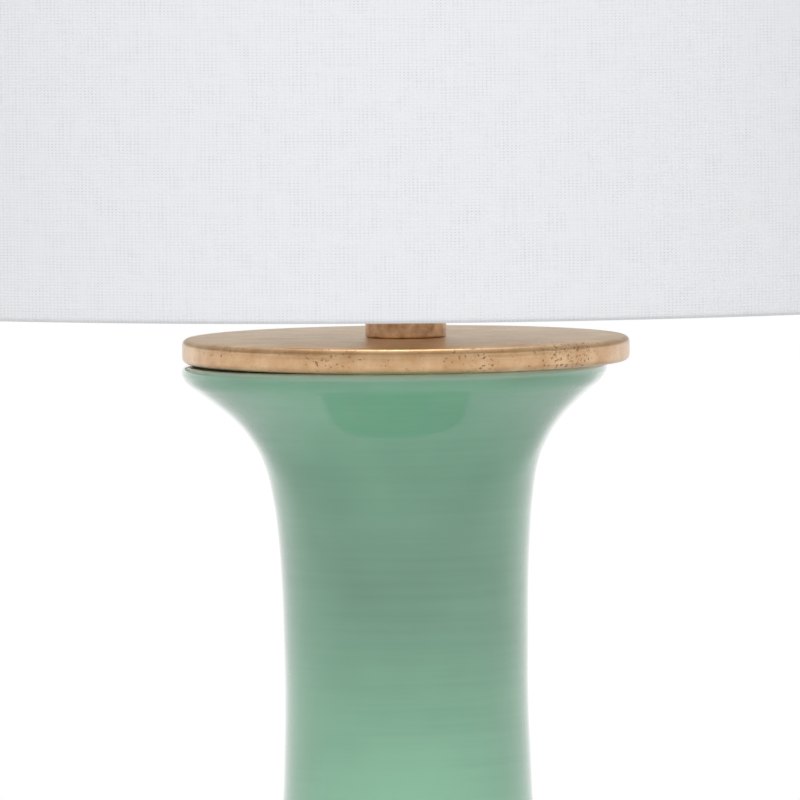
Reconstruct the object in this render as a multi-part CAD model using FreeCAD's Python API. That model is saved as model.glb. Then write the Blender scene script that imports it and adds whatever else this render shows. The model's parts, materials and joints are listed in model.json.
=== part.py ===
import FreeCAD, Part
import math
import os

from FreeCAD import Vector

# Table lamp: a glazed vase with a trumpet mouth on a round plinth, a cap disc and a collar over its mouth,
# a socket and harp on the lamp pipe, and a drum shade held by a spider and a finial.
# Millimetres, +Z up, origin at the centre of the felt pad's underside, front towards -Y.

os.makedirs("parts", exist_ok=True)

# ---------------------------------------------------------------------------------------------------------
# Driving sizes
# ---------------------------------------------------------------------------------------------------------

# Plinth and felt pad
felt_thick = 1.5
felt_inset = 4.0            # the felt ends this far inside the plinth's rim
plinth_d = 165.0
plinth_h = 22.0
plinth_edge_r = 2.2
pocket_d = 60.0             # pocket underneath for the nut and the cord
pocket_h = 14.0
cord_hole_rise = 8.0        # axis of the cord hole above the plinth's underside
spot_face_depth = 1.0       # flat for the bushing's flange in the plinth's round rim
spot_face_clear = 0.5

# Cord inlet bushing
inlet_bore_r = 3.5
inlet_wall = 1.5
inlet_length = 14.0
inlet_flange_wide = 2.0     # the flange stands out from the barrel by this much
inlet_flange_thick = 2.0

# Lamp pipe, its nut and washer
pipe_d = 10.3
pipe_bore_d = 7.0
pipe_below_nut = 3.0
nut_across_flats = 15.0
nut_thick = 4.0
washer_d = 34.0
washer_thick = 1.6

# Vase: heights are drops below its lip
vase_h = 389.5
vase_wall = 6.0
vase_off_axis = -1.6        # the vase stands off the pipe's axis by the play in its foot hole
mouth_r = 62.5              # where the flare would end without the lip's rounding
lip_round = 1.5
throat_r = 34.8
flare_length = 16.0
flare_power = 1.22
throat_drop = 84.0
neck_foot_drop = 150.0
neck_foot_r = 37.5
cove_drop = 186.0
cove_r = 50.0
shoulder_drop = 218.0
shoulder_r = 84.0
belly_drop = 264.0
belly_r = 106.0
haunch_drop = 330.0
haunch_r = 92.0
foot_r = 68.0
foot_round = 1.5
foot_ring_wide = 10.0
foot_recess = 5.0
vase_floor = 8.0
vase_hole_play = 2.6        # round the pipe, more than vase_off_axis

# Cap, gasket and collar
gasket_thick = 1.0
gasket_wide = 5.0
gasket_inset = 1.5          # from the edge of the lip's flat
cap_d = 127.0
cap_thick = 7.0
cap_edge_r = 1.8
cap_step_h = 4.0
cap_step_play = 1.5         # least gap between the step and the mouth's wall
collar_d = 23.0
collar_h = 14.0
collar_edge_r = 0.9

# Harp saddle and harp
saddle_thick = 1.5
saddle_w = 9.0
saddle_pad_r = 11.0
saddle_rise = 12.0          # from the pad up to the floor of the channel ends
saddle_bend_r = 6.0
channel_wall = 0.9
channel_depth = 13.0
channel_slot_w = 3.0
harp_foot_x = 36.0          # half the distance between the harp's two legs
harp_wire_d = 4.0
harp_half_w = 61.0
harp_top_r = 14.0
harp_plate_half = 13.0
harp_plate_w = 10.0
harp_plate_thick = 2.6
ferrule_wall = 0.95
ferrule_neck_h = 3.7
ferrule_travel = 12.0
seat_pin_r = 3.175          # the same radius as the stud above it
seat_flange_r = 9.5
seat_flange_thick = 2.5
seat_rivet_r = 4.8
seat_rivet_thick = 1.2

# Lamp socket
socket_hub_r = 8.0
socket_hub_h = 7.0
socket_cap_r = 17.0
socket_cap_dome_h = 6.0
socket_cap_skirt_h = 8.0
socket_sheet = 0.8
shell_h = 49.5
shell_lap = 7.0             # the shell's neck stands this deep in the cap
shell_step = 0.55           # and the shell is that much wider above it
liner_thick = 0.6
socket_body_h = 22.0
body_cup_h = 9.0
body_cup_wall = 0.5
terminal_flat = 11.2        # the core's flats for the terminals, from its axis
terminal_head_r = 3.4
terminal_head_thick = 2.0
terminal_shank_r = 1.6
terminal_shank = 4.0
screw_shell_bore_r = 13.4
screw_shell_sheet = 0.5
screw_shell_h = 24.0
contact_r = 2.5
contact_thick = 1.5
set_screw_r = 1.5
set_screw_out = 1.5

# Switch
switch_shaft_r = 1.8
switch_bushing_r = 4.0
switch_bushing_out = 3.0    # past the shell
switch_seat_in = 4.0        # the bushing is let this far into the core
knob_r = 6.5
knob_tip_r = 5.6
knob_h = 18.0
knob_flutes = 12
knob_flute_r = 0.9
knob_web = 2.0              # closed end of the knob

# Bulb
bulb_len = 108.0
bulb_globe_r = 30.0
bulb_cap_r = 13.0
bulb_cap_h = 20.0
bulb_insulator_h = 3.5
bulb_insulator_r = 9.5
bulb_tip_r = 4.5
bulb_tip_h = 1.5
bulb_neck_h = 6.0
bulb_housing_h = 30.0
bulb_housing_r = 27.5

# Shade
shade_d = 431.8
shade_h = 279.4
shade_lift_off_cap = 15.0   # gap between the cap's top and the shade's lower edge
fabric_thick = 0.8
liner_sheet = 0.5
ring_wire_d = 3.2
hem_turn = 6.0              # height of the turned-in hem
hem_round = 1.0
spider_drop = 16.0
spider_wire_d = 3.2
spider_arms = 3
spider_first_angle = 90.0
spider_hub_rim = 1.5         # the arms are let this far into the hub
spider_hub_thick = 1.6
spider_flat = 14.0          # level run of each arm beside the hub
spider_ramp = 18.0
spider_bend_r = 8.0

# Finial
stud_above_hub = 13.0
finial_flange_r = 9.0
finial_flange_thick = 2.5
finial_neck_r = 5.6
finial_shoulder_r = 7.5
finial_h = 16.0
finial_ball_r = 12.0
finial_spigot_h = 3.0

# Clearances
press_clear = 0.05          # pieces pressed or screwed together
run_clear = 0.08            # a shaft in its bearing
slip_clear = 0.2            # a piece that slips on by hand
part_clear = 0.3            # between pieces that move apart
pipe_clear = 0.3            # holes that the pipe only passes through
stud_hole_clear = 0.35      # the spider's hub on the stud

# ---------------------------------------------------------------------------------------------------------
# Levels and radii that follow from the driving sizes
# ---------------------------------------------------------------------------------------------------------

UP = Vector(0, 0, 1)
pipe_r = pipe_d / 2
plinth_r = plinth_d / 2
cap_r = cap_d / 2
collar_r = collar_d / 2
harp_wire_r = harp_wire_d / 2
shade_r = shade_d / 2
ring_r = ring_wire_d / 2
spider_wire_r = spider_wire_d / 2

plinth_z0 = felt_thick
plinth_z1 = plinth_z0 + plinth_h
pocket_z = plinth_z0 + pocket_h
nut_z1 = pocket_z - washer_thick
nut_z0 = nut_z1 - nut_thick
pipe_z0 = nut_z0 - pipe_below_nut
lip_z = plinth_z1 + vase_h
cap_z0 = lip_z + gasket_thick
cap_z1 = cap_z0 + cap_thick
collar_z1 = cap_z1 + collar_h
saddle_z1 = collar_z1 + saddle_thick

# Socket, from the saddle upwards
hub_z1 = saddle_z1 + socket_hub_h
pipe_z1 = hub_z1 + 1.0
skirt_z0 = hub_z1 + socket_cap_dome_h
skirt_z1 = skirt_z0 + socket_cap_skirt_h
shell_z0 = skirt_z1 - shell_lap
shell_z1 = shell_z0 + shell_h
shell_neck_r = socket_cap_r - socket_sheet - press_clear
shell_r = shell_neck_r + shell_step
liner_r = shell_neck_r - socket_sheet - press_clear
core_r = liner_r - liner_thick - slip_clear
core_z0 = shell_z0 + 1.0
core_z1 = core_z0 + socket_body_h
screw_shell_r = screw_shell_bore_r + screw_shell_sheet
contact_z1 = core_z1 + contact_thick
switch_z = skirt_z1 + switch_bushing_r + 0.8

# Channel ends of the saddle and the harp's legs
channel_bore_r = harp_wire_r + slip_clear
channel_r = channel_bore_r + channel_wall
channel_z0 = saddle_z1 + saddle_rise
channel_z1 = channel_z0 + channel_depth
leg_z0 = channel_z0 + part_clear
ferrule_bore_r = channel_r + slip_clear
ferrule_z0 = channel_z0 + 1.0
ferrule_z2 = channel_z1 + part_clear
ferrule_z3 = ferrule_z2 + ferrule_neck_h

# Shade, spider and what carries them
shade_z0 = cap_z1 + shade_lift_off_cap
shade_z1 = shade_z0 + shade_h
liner_outer_r = shade_r - fabric_thick
ring_centre_r = liner_outer_r - liner_sheet - ring_r
hem_in_r = ring_centre_r - ring_r - slip_clear
ring_z0 = shade_z0 + fabric_thick + slip_clear + ring_r
ring_z1 = shade_z1 - fabric_thick - slip_clear - ring_r
spider_z = ring_z1 - spider_drop
spider_reach = ring_centre_r - ring_r - 2 * press_clear
spider_hub_z0 = spider_z - spider_hub_thick / 2
spider_hub_z1 = spider_z + spider_hub_thick / 2
seat_z1 = spider_hub_z0 - part_clear
seat_z0 = seat_z1 - seat_flange_thick
plate_z1 = seat_z0 - part_clear
plate_z0 = plate_z1 - harp_plate_thick
harp_top_z = (plate_z0 + plate_z1) / 2
spider_arm_start = max(seat_flange_r, finial_flange_r) + 2 * part_clear
spider_hub_r = spider_arm_start + spider_hub_rim
stud_z1 = spider_hub_z1 + stud_above_hub
finial_z0 = spider_hub_z1 + part_clear
finial_z1 = finial_z0 + finial_h

# Bulb, standing just clear of the centre contact
bulb_z0 = contact_z1 + part_clear
bulb_insulator_z = bulb_z0 + bulb_tip_h
bulb_cap_z = bulb_insulator_z + bulb_insulator_h
bulb_neck_z = bulb_cap_z + bulb_cap_h
bulb_housing_z = bulb_neck_z + bulb_neck_h
bulb_seam_z = bulb_neck_z + bulb_housing_h
bulb_z1 = bulb_z0 + bulb_len


# ---------------------------------------------------------------------------------------------------------
# Helpers
# ---------------------------------------------------------------------------------------------------------

def rod(radius, z0, z1, x=0.0, y=0.0):
    """Upright cylinder."""
    return Part.makeCylinder(radius, z1 - z0, Vector(x, y, z0), UP)


def tube(outer_r, inner_r, z0, z1, x=0.0, y=0.0):
    """Upright tube."""
    return rod(outer_r, z0, z1, x, y).cut(rod(inner_r, z0 - 1, z1 + 1, x, y))


def rod_along(radius, start, direction, length):
    """Cylinder from a point along a direction."""
    return Part.makeCylinder(radius, length, start, direction)


def segment(start, end):
    """Straight edge."""
    return Part.LineSegment(start, end).toShape()


def three_point_arc(start, middle, end):
    """Arc through three points."""
    return Part.Arc(start, middle, end).toShape()


def at(radius, z):
    """Point of a turned outline, in the XZ plane."""
    return Vector(radius, 0, z)


def turned(edges):
    """Solid of revolution about Z from the closed outline that the edges make."""
    face = Part.Face(Part.Wire(edges))
    return face.revolve(Vector(0, 0, 0), UP, 360)


def turned_polygon(points):
    """Solid of revolution from (radius, z) corners."""
    corners = [at(radius, z) for radius, z in points]
    corners.append(corners[0])
    return turned([segment(a, b) for a, b in zip(corners, corners[1:])])


def rim_edges(solid, radius, z):
    """The round edges of one radius at one level."""
    found = []
    for edge in solid.Edges:
        curve = edge.Curve
        is_circle = isinstance(curve, Part.Circle)
        if is_circle and abs(curve.Radius - radius) < 0.01 and abs(curve.Center.z - z) < 0.01:
            found.append(edge)
    return found


def rounded_disc(radius, z0, z1, edge_r):
    """Flat disc with both rims rounded."""
    disc = rod(radius, z0, z1)
    rims = rim_edges(disc, radius, z0) + rim_edges(disc, radius, z1)
    return disc.makeFillet(min(edge_r, (z1 - z0) * 0.45), rims)


def rounded_path(points, radii):
    """Straight runs joined by tangent arcs, one radius for each inner point."""
    edges = []
    start = points[0]
    for before, corner, after, radius in zip(points, points[1:], points[2:], radii):
        come = (corner - before).normalize()
        go = (after - corner).normalize()
        turn = math.acos(max(-1.0, min(1.0, come.dot(go))))
        reach = radius * math.tan(turn / 2)
        arc_start = corner - come * reach
        arc_end = corner + go * reach
        inward = (go - come).normalize()
        middle = corner + inward * (radius / math.cos(turn / 2) - radius)
        edges.append(segment(start, arc_start))
        edges.append(three_point_arc(arc_start, middle, arc_end))
        start = arc_end
    edges.append(segment(start, points[-1]))
    return Part.Wire(edges)


def wire_rod(path, radius):
    """Round wire along a path: a cylinder for each straight run, a piece of torus for each arc."""
    runs = []
    for edge in path.Edges:
        start = edge.valueAt(edge.FirstParameter)
        along = edge.tangentAt(edge.FirstParameter)
        if isinstance(edge.Curve, Part.Circle):
            section = Part.Face(Part.Wire(Part.Circle(start, along, radius).toShape()))
            turn = math.degrees(edge.LastParameter - edge.FirstParameter)
            runs.append(section.revolve(edge.Curve.Center, edge.Curve.Axis, turn))
        else:
            runs.append(rod_along(radius, start, along, edge.Length))
    return runs[0].fuse(runs[1:]).removeSplitter()


def mirrored_x(shape):
    """The same shape on the other side of the lamp."""
    return shape.mirror(Vector(0, 0, 0), Vector(1, 0, 0))


def export(name, shape):
    """Write one sub-part as parts/name.step."""
    shape.exportStep("parts/" + name + ".step")


# ---------------------------------------------------------------------------------------------------------
# Stand
# ---------------------------------------------------------------------------------------------------------

def felt_pad():
    return rod(plinth_r - felt_inset, 0, felt_thick)


def cord_hole_z():
    return plinth_z0 + cord_hole_rise


def inlet_barrel_r():
    return inlet_bore_r + inlet_wall


def inlet_flange_r():
    return inlet_barrel_r() + inlet_flange_wide


def spot_face_y():
    """Where the flat in the plinth's rim lies."""
    return plinth_r - spot_face_depth


def plinth():
    """Turned wooden base, with a pocket underneath and a cord hole at the back."""
    body = rounded_disc(plinth_r, plinth_z0, plinth_z1, plinth_edge_r)
    pocket = rod(pocket_d / 2, plinth_z0 - 1, pocket_z)
    pipe_hole = rod(pipe_r + pipe_clear, plinth_z0, plinth_z1 + 1)
    hole_start = Vector(0, 0, cord_hole_z())
    back = Vector(0, 1, 0)
    cord_hole = rod_along(inlet_barrel_r() + press_clear, hole_start, back, plinth_r + 1)
    face_start = Vector(0, spot_face_y(), cord_hole_z())
    spot_face = rod_along(inlet_flange_r() + spot_face_clear, face_start, back, spot_face_depth + 5)
    return body.cut(pocket).cut(pipe_hole).cut(cord_hole).cut(spot_face)


def cord_inlet_bushing():
    """Flanged sleeve in the cord hole, with its flange on the spot face."""
    inward = Vector(0, -1, 0)
    flange_face = Vector(0, spot_face_y() + inlet_flange_thick, cord_hole_z())
    flange = rod_along(inlet_flange_r(), flange_face, inward, inlet_flange_thick)
    barrel = rod_along(inlet_barrel_r(), flange_face, inward, inlet_length)
    bore = rod_along(inlet_bore_r, flange_face + Vector(0, 1, 0), inward, inlet_length + 2)
    return flange.fuse(barrel).removeSplitter().cut(bore)


def plinth_washer():
    return tube(washer_d / 2, pipe_r + pipe_clear, nut_z1, pocket_z)


def plinth_nut():
    """Hexagon nut on the lower end of the pipe."""
    corner_r = nut_across_flats / math.sqrt(3)
    corners = [Vector(corner_r * math.cos(math.radians(60 * i)), corner_r * math.sin(math.radians(60 * i)), nut_z0)
               for i in range(6)]
    corners.append(corners[0])
    blank = Part.Face(Part.makePolygon(corners)).extrude(Vector(0, 0, nut_thick))
    return blank.cut(rod(pipe_r + press_clear, nut_z0 - 1, nut_z1 + 1))


def lamp_pipe():
    return tube(pipe_r, pipe_bore_d / 2, pipe_z0, pipe_z1)


def flare_radius(drop):
    """Radius of the trumpet mouth at a drop below the lip."""
    return throat_r + (mouth_r - throat_r) * math.exp(-((drop / flare_length) ** flare_power))


def vase_outline():
    """Curve of the vase's outside, from the lip down to the foot."""
    flare_drops = [0.0, 0.12, 0.35, 0.7, 1.1, 1.7, 2.6, 3.7]
    stations = [(flare_radius(share * flare_length), share * flare_length) for share in flare_drops]
    stations.append((throat_r, throat_drop))
    stations.append((neck_foot_r, neck_foot_drop))
    stations.append((cove_r, cove_drop))
    stations.append((shoulder_r, shoulder_drop))
    stations.append((belly_r, belly_drop))
    stations.append((haunch_r, haunch_drop))
    stations.append((foot_r, vase_h))
    points = [at(radius, lip_z - drop) for radius, drop in stations]
    curve = Part.BSplineCurve()
    curve.interpolate(points)
    return curve, points


def turned_under(outline, top, bottom):
    """Solid of revolution between the axis and an outline that runs from top to bottom."""
    edges = list(outline)
    edges.append(segment(bottom, at(0, bottom.z)))
    edges.append(segment(at(0, bottom.z), at(0, top.z)))
    edges.append(segment(at(0, top.z), top))
    return turned(edges)


def moved_in(curve, point):
    """Point of the vase's inside that lies a wall away from a point of its outside."""
    along = curve.tangent(curve.parameter(point))[0]
    return point + Vector(along.z, 0, -along.x) * vase_wall


def vase_inside(curve, points):
    """Hollow of the vase: its outside moved inwards by the wall, down to the floor."""
    inner = [moved_in(curve, point) for point in points]
    neck_foot, cove, shoulder, belly, haunch, foot = inner[-6:]
    edges = [segment(a, b) for a, b in zip(inner[:-6], inner[1:-5])]
    edges.append(three_point_arc(neck_foot, cove, shoulder))
    edges.append(three_point_arc(shoulder, belly, haunch))
    edges.append(segment(haunch, foot))
    hollow = turned_under(edges, inner[0], foot)
    floor_z = plinth_z1 + foot_recess + vase_floor
    return hollow.common(rod(2 * belly_r, floor_z, lip_z + 1))


def vase():
    """Glazed ceramic vase with a trumpet mouth, a long neck and a recessed foot."""
    curve, points = vase_outline()
    body = turned_under([curve.toShape()], points[0], points[-1])
    body = body.makeFillet(lip_round, rim_edges(body, mouth_r, lip_z))
    body = body.makeFillet(foot_round, rim_edges(body, foot_r, plinth_z1))
    recess = rod(foot_r - foot_ring_wide, plinth_z1 - 1, plinth_z1 + foot_recess)
    hole = rod(pipe_r + vase_hole_play, plinth_z1 - 1, plinth_z1 + foot_recess + vase_floor + 1)
    hole.translate(Vector(-vase_off_axis, 0, 0))
    body = body.cut(vase_inside(curve, points)).cut(recess).cut(hole)
    body.translate(Vector(vase_off_axis, 0, 0))
    return body


# ---------------------------------------------------------------------------------------------------------
# Cap, gasket and collar
# ---------------------------------------------------------------------------------------------------------

def mouth_inner_r(drop):
    """Inside radius of the mouth at a drop below the lip, with the wall square to the flare."""
    slope = flare_radius(drop) - flare_radius(drop + 1.0)
    return flare_radius(drop) - vase_wall * math.hypot(1.0, slope)


def mouth_gasket():
    """Thin ring between the lip and the cap."""
    outer_r = mouth_r - lip_round - gasket_inset
    ring = tube(outer_r, outer_r - gasket_wide, lip_z, cap_z0)
    ring.translate(Vector(vase_off_axis, 0, 0))
    return ring


def cap_disc():
    """Round disc over the mouth, with a step underneath that stands in the mouth."""
    disc = rounded_disc(cap_r, cap_z0, cap_z1, cap_edge_r)
    step_r = mouth_inner_r(cap_step_h) - abs(vase_off_axis) - cap_step_play
    step = rod(step_r, cap_z0 - cap_step_h, cap_z0)
    pipe_hole = rod(pipe_r + pipe_clear, cap_z0 - cap_step_h - 1, cap_z1 + 1)
    return disc.fuse(step).cut(pipe_hole)


def neck_collar():
    """Short turned collar on the cap."""
    body = rounded_disc(collar_r, cap_z1, collar_z1, collar_edge_r)
    return body.cut(rod(pipe_r + pipe_clear, cap_z1 - 1, collar_z1 + 1))


# ---------------------------------------------------------------------------------------------------------
# Harp: saddle, bow, ferrules and seat
# ---------------------------------------------------------------------------------------------------------

def channel_end():
    """Rolled end of the saddle's right arm: an upright channel, open inwards, with a floor."""
    sleeve = rod(channel_r, channel_z0 - saddle_thick, channel_z1, harp_foot_x)
    bore = rod(channel_bore_r, channel_z0, channel_z1 + 1, harp_foot_x)
    slot_corner = Vector(harp_foot_x - channel_r - 1, -channel_slot_w / 2, channel_z0)
    slot = Part.makeBox(channel_r + 1, channel_slot_w, channel_depth + 1, slot_corner)
    return sleeve.cut(bore).cut(slot)


def harp_saddle():
    """Bent brass strip under the socket, with a channel end on each arm."""
    mid_z = saddle_z1 - saddle_thick / 2
    arm_top = channel_z0 - saddle_thick / 2
    points = [Vector(-harp_foot_x, 0, arm_top), Vector(-harp_foot_x, 0, mid_z),
              Vector(harp_foot_x, 0, mid_z), Vector(harp_foot_x, 0, arm_top)]
    path = rounded_path(points, [saddle_bend_r, saddle_bend_r])
    x0 = -harp_foot_x - saddle_thick / 2
    x1 = -harp_foot_x + saddle_thick / 2
    half_w = saddle_w / 2
    section = Part.makePolygon([Vector(x0, -half_w, arm_top), Vector(x1, -half_w, arm_top),
                                Vector(x1, half_w, arm_top), Vector(x0, half_w, arm_top),
                                Vector(x0, -half_w, arm_top)])
    strip = path.makePipeShell([section], True, False)
    pad = rod(saddle_pad_r, collar_z1, saddle_z1)
    right_end = channel_end()
    body = strip.fuse([pad, right_end, mirrored_x(right_end)]).removeSplitter()
    return body.cut(rod(pipe_r + pipe_clear, collar_z1 - 1, saddle_z1 + 1))


def harp_side():
    """Right half of the harp's wire, from its foot to the flattened top."""
    swell_z0 = ferrule_z3 + ferrule_travel + 20
    height = harp_top_z - swell_z0
    points = [Vector(harp_foot_x, 0, leg_z0),
              Vector(harp_foot_x, 0, swell_z0),
              Vector(harp_half_w, 0, swell_z0 + 0.26 * height),
              Vector(harp_half_w, 0, swell_z0 + 0.70 * height),
              Vector(0.62 * harp_half_w, 0, harp_top_z),
              Vector(harp_plate_half - 1, 0, harp_top_z)]
    path = rounded_path(points, [40, 80, 90, harp_top_r])
    return wire_rod(path, harp_wire_r)


def harp_bow():
    """Wire bow round the bulb, flattened and drilled at its top."""
    right = harp_side()
    plate = Part.makeBox(2 * harp_plate_half, harp_plate_w, harp_plate_thick,
                         Vector(-harp_plate_half, -harp_plate_w / 2, plate_z0))
    corners = [edge for edge in plate.Edges
               if abs(edge.Vertexes[0].Z - edge.Vertexes[1].Z) > harp_plate_thick / 2]
    plate = plate.makeFillet(harp_plate_w * 0.3, corners)
    hole = rod(seat_pin_r + run_clear, plate_z0 - 1, plate_z1 + 1)
    return right.fuse([mirrored_x(right), plate.cut(hole)])


def harp_ferrule():
    """Right ferrule: a thimble that holds the harp's leg in its channel."""
    neck_bore_r = harp_wire_r + slip_clear
    outer_r = ferrule_bore_r + ferrule_wall
    neck_outer_r = neck_bore_r + ferrule_wall
    body = turned_polygon([(ferrule_bore_r, ferrule_z0), (outer_r, ferrule_z0), (outer_r, ferrule_z2 - 2),
                           (neck_outer_r, ferrule_z3), (neck_bore_r, ferrule_z3), (neck_bore_r, ferrule_z2),
                           (ferrule_bore_r, ferrule_z2)])
    body.translate(Vector(harp_foot_x, 0, 0))
    return body


def harp_seat():
    """Swivelling screw at the harp's top: rivet head, pin, flange and stud."""
    rivet_z1 = plate_z0 - part_clear
    rivet = rod(seat_rivet_r, rivet_z1 - seat_rivet_thick, rivet_z1)
    pin = rod(seat_pin_r, rivet_z1 - seat_rivet_thick, stud_z1)
    flange = rod(seat_flange_r, seat_z0, seat_z1)
    return pin.fuse([rivet, flange])


# ---------------------------------------------------------------------------------------------------------
# Lamp socket
# ---------------------------------------------------------------------------------------------------------

def socket_cap():
    """Spun brass cap with its threaded hub."""
    bore_r = pipe_r + press_clear
    inner_r = socket_cap_r - socket_sheet
    dome_mid_z = hub_z1 + socket_cap_dome_h * 0.3
    outer_dome = three_point_arc(at(socket_hub_r, hub_z1 - socket_sheet),
                                 at(socket_cap_r * 0.9, dome_mid_z - socket_sheet * 0.3),
                                 at(socket_cap_r, skirt_z0))
    inner_dome = three_point_arc(at(inner_r, skirt_z0), at(inner_r * 0.89, dome_mid_z + socket_sheet * 0.5),
                                 at(socket_hub_r, hub_z1))
    edges = [segment(at(bore_r, saddle_z1), at(socket_hub_r, saddle_z1))]
    edges.append(segment(at(socket_hub_r, saddle_z1), at(socket_hub_r, hub_z1 - socket_sheet)))
    edges.append(outer_dome)
    edges.append(segment(at(socket_cap_r, skirt_z0), at(socket_cap_r, skirt_z1)))
    edges.append(segment(at(socket_cap_r, skirt_z1), at(inner_r, skirt_z1)))
    edges.append(segment(at(inner_r, skirt_z1), at(inner_r, skirt_z0)))
    edges.append(inner_dome)
    edges.append(segment(at(socket_hub_r, hub_z1), at(bore_r, hub_z1)))
    edges.append(segment(at(bore_r, hub_z1), at(bore_r, saddle_z1)))
    return turned(edges).cut(set_screw_hole())


def set_screw_z():
    return saddle_z1 + socket_hub_h * 0.45


def set_screw_hole():
    start = Vector(0, pipe_r - 0.5, set_screw_z())
    return rod_along(set_screw_r + press_clear, start, Vector(0, 1, 0), socket_hub_r)


def socket_set_screw():
    """Screw through the hub that locks the cap on the pipe."""
    start = Vector(0, pipe_r + press_clear, set_screw_z())
    length = socket_hub_r + set_screw_out - start.y
    return rod_along(set_screw_r, start, Vector(0, 1, 0), length)


def switch_slot(z0):
    """Cutter for the slot that lets a sleeve slip down over the switch bushing."""
    width = 2 * (switch_bushing_r + part_clear)
    corner = Vector(-width / 2, -2 * shell_r, z0 - 1)
    box = Part.makeBox(width, 2 * shell_r, switch_z - z0 + 1, corner)
    round_end = rod_along(width / 2, Vector(0, 0, switch_z), Vector(0, -1, 0), 2 * shell_r)
    return box.fuse(round_end)


def socket_shell():
    """Brass shell with a neck that stands in the cap and a rolled top edge."""
    neck_in_r = shell_neck_r - socket_sheet
    in_r = shell_r - socket_sheet
    bead_r = shell_r + 0.5
    body = turned_polygon([(neck_in_r, shell_z0), (shell_neck_r, shell_z0), (shell_neck_r, skirt_z1),
                           (shell_r, skirt_z1 + shell_step), (shell_r, shell_z1 - 3.0),
                           (bead_r, shell_z1 - 2.3), (bead_r, shell_z1 - 0.7), (shell_r, shell_z1),
                           (in_r, shell_z1), (in_r, skirt_z1 + shell_step), (neck_in_r, skirt_z1)])
    return body.cut(switch_slot(shell_z0))


def socket_liner():
    """Fibre sleeve inside the shell."""
    body = tube(liner_r, liner_r - liner_thick, shell_z0 + 0.5, shell_z1 - 2.0)
    return body.cut(switch_slot(shell_z0))


def terminal_z():
    return core_z0 + socket_body_h * 0.4


def terminal_screw():
    """Binding screw on the core's right flat."""
    head_start = Vector(terminal_flat, 0, terminal_z())
    head = rod_along(terminal_head_r, head_start, Vector(1, 0, 0), terminal_head_thick)
    shank = rod_along(terminal_shank_r, head_start, Vector(-1, 0, 0), terminal_shank)
    slot_corner = Vector(terminal_flat + terminal_head_thick * 0.5, -terminal_head_r, terminal_z() - 0.4)
    slot = Part.makeBox(terminal_head_thick, 2 * terminal_head_r, 0.8, slot_corner)
    return head.fuse(shank).cut(slot)


def socket_body():
    """Phenolic core: terminal flats at the sides, a seat for the switch, and a cup for the screw shell."""
    cup_in_r = screw_shell_r + press_clear
    core = rod(core_r, core_z0, core_z1)
    core = core.fuse(tube(min(core_r, cup_in_r + body_cup_wall), cup_in_r, core_z1, core_z1 + body_cup_h))
    flat_z1 = terminal_z() + terminal_head_r + 2.0
    flat = Part.makeBox(core_r, 2 * core_r, flat_z1 - core_z0 + 1, Vector(terminal_flat, -core_r, core_z0 - 1))
    shank_start = Vector(terminal_flat, 0, terminal_z())
    shank_hole = rod_along(terminal_shank_r + press_clear, shank_start, Vector(-1, 0, 0), terminal_shank + 0.5)
    bushing_start = Vector(0, -core_r + switch_seat_in, switch_z)
    bushing_hole = rod_along(switch_bushing_r + press_clear, bushing_start, Vector(0, -1, 0), core_r)
    shaft_hole = rod_along(switch_shaft_r + run_clear, Vector(0, 0, switch_z), Vector(0, -1, 0), core_r + 1)
    cutters = [flat, mirrored_x(flat), shank_hole, mirrored_x(shank_hole), bushing_hole, shaft_hole]
    return core.cut(cutters)


def socket_screw_shell():
    """Thin screwed cup that takes the bulb."""
    cup = rod(screw_shell_r, core_z1, core_z1 + screw_shell_h)
    inside = rod(screw_shell_bore_r, core_z1 + screw_shell_sheet, core_z1 + screw_shell_h + 1)
    contact_hole = rod(contact_r + 1.5, core_z1 - 1, core_z1 + 1)
    return cup.cut(inside).cut(contact_hole)


def centre_contact():
    return rod(contact_r, core_z1, contact_z1)


def switch_bushing():
    """Nozzle that carries the switch shaft through the shell's slot."""
    start = Vector(0, -core_r + switch_seat_in - press_clear, switch_z)
    length = shell_r + switch_bushing_out + start.y
    body = rod_along(switch_bushing_r, start, Vector(0, -1, 0), length)
    bore = rod_along(switch_shaft_r + run_clear, start + Vector(0, 1, 0), Vector(0, -1, 0), length + 2)
    return body.cut(bore)


def knob_y():
    """Inner end of the knob, just off the bushing."""
    return -(shell_r + switch_bushing_out + part_clear)


def switch_shaft():
    start = Vector(0, -part_clear, switch_z)
    length = knob_h - knob_web - knob_y() - 2 * part_clear
    return rod_along(switch_shaft_r, start, Vector(0, -1, 0), length)


def switch_knob():
    """Tapered knob with flutes round it and a blind bore for the shaft."""
    outward = Vector(0, -1, 0)
    start = Vector(0, knob_y(), switch_z)
    body = Part.makeCone(knob_r, knob_tip_r, knob_h, start, outward)
    flutes = []
    for i in range(knob_flutes):
        angle = 2 * math.pi * i / knob_flutes
        side = Vector(math.cos(angle), 0, math.sin(angle))
        foot = start + side * (knob_r + knob_flute_r * 0.35)
        tip = start + outward * (knob_h - 2.0) + side * (knob_tip_r + knob_flute_r * 0.6)
        run = tip - foot
        flutes.append(rod_along(knob_flute_r, foot, run, run.Length))
    bore = rod_along(switch_shaft_r + press_clear, start - outward, outward, knob_h - knob_web + 1)
    return body.cut(flutes).cut(bore)


# ---------------------------------------------------------------------------------------------------------
# Bulb
# ---------------------------------------------------------------------------------------------------------

def bulb_tip():
    return Part.makeCone(bulb_tip_r * 0.6, bulb_tip_r, bulb_tip_h, Vector(0, 0, bulb_z0), UP)


def bulb_insulator():
    return Part.makeCone(bulb_tip_r, bulb_insulator_r, bulb_insulator_h, Vector(0, 0, bulb_insulator_z), UP)


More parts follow.
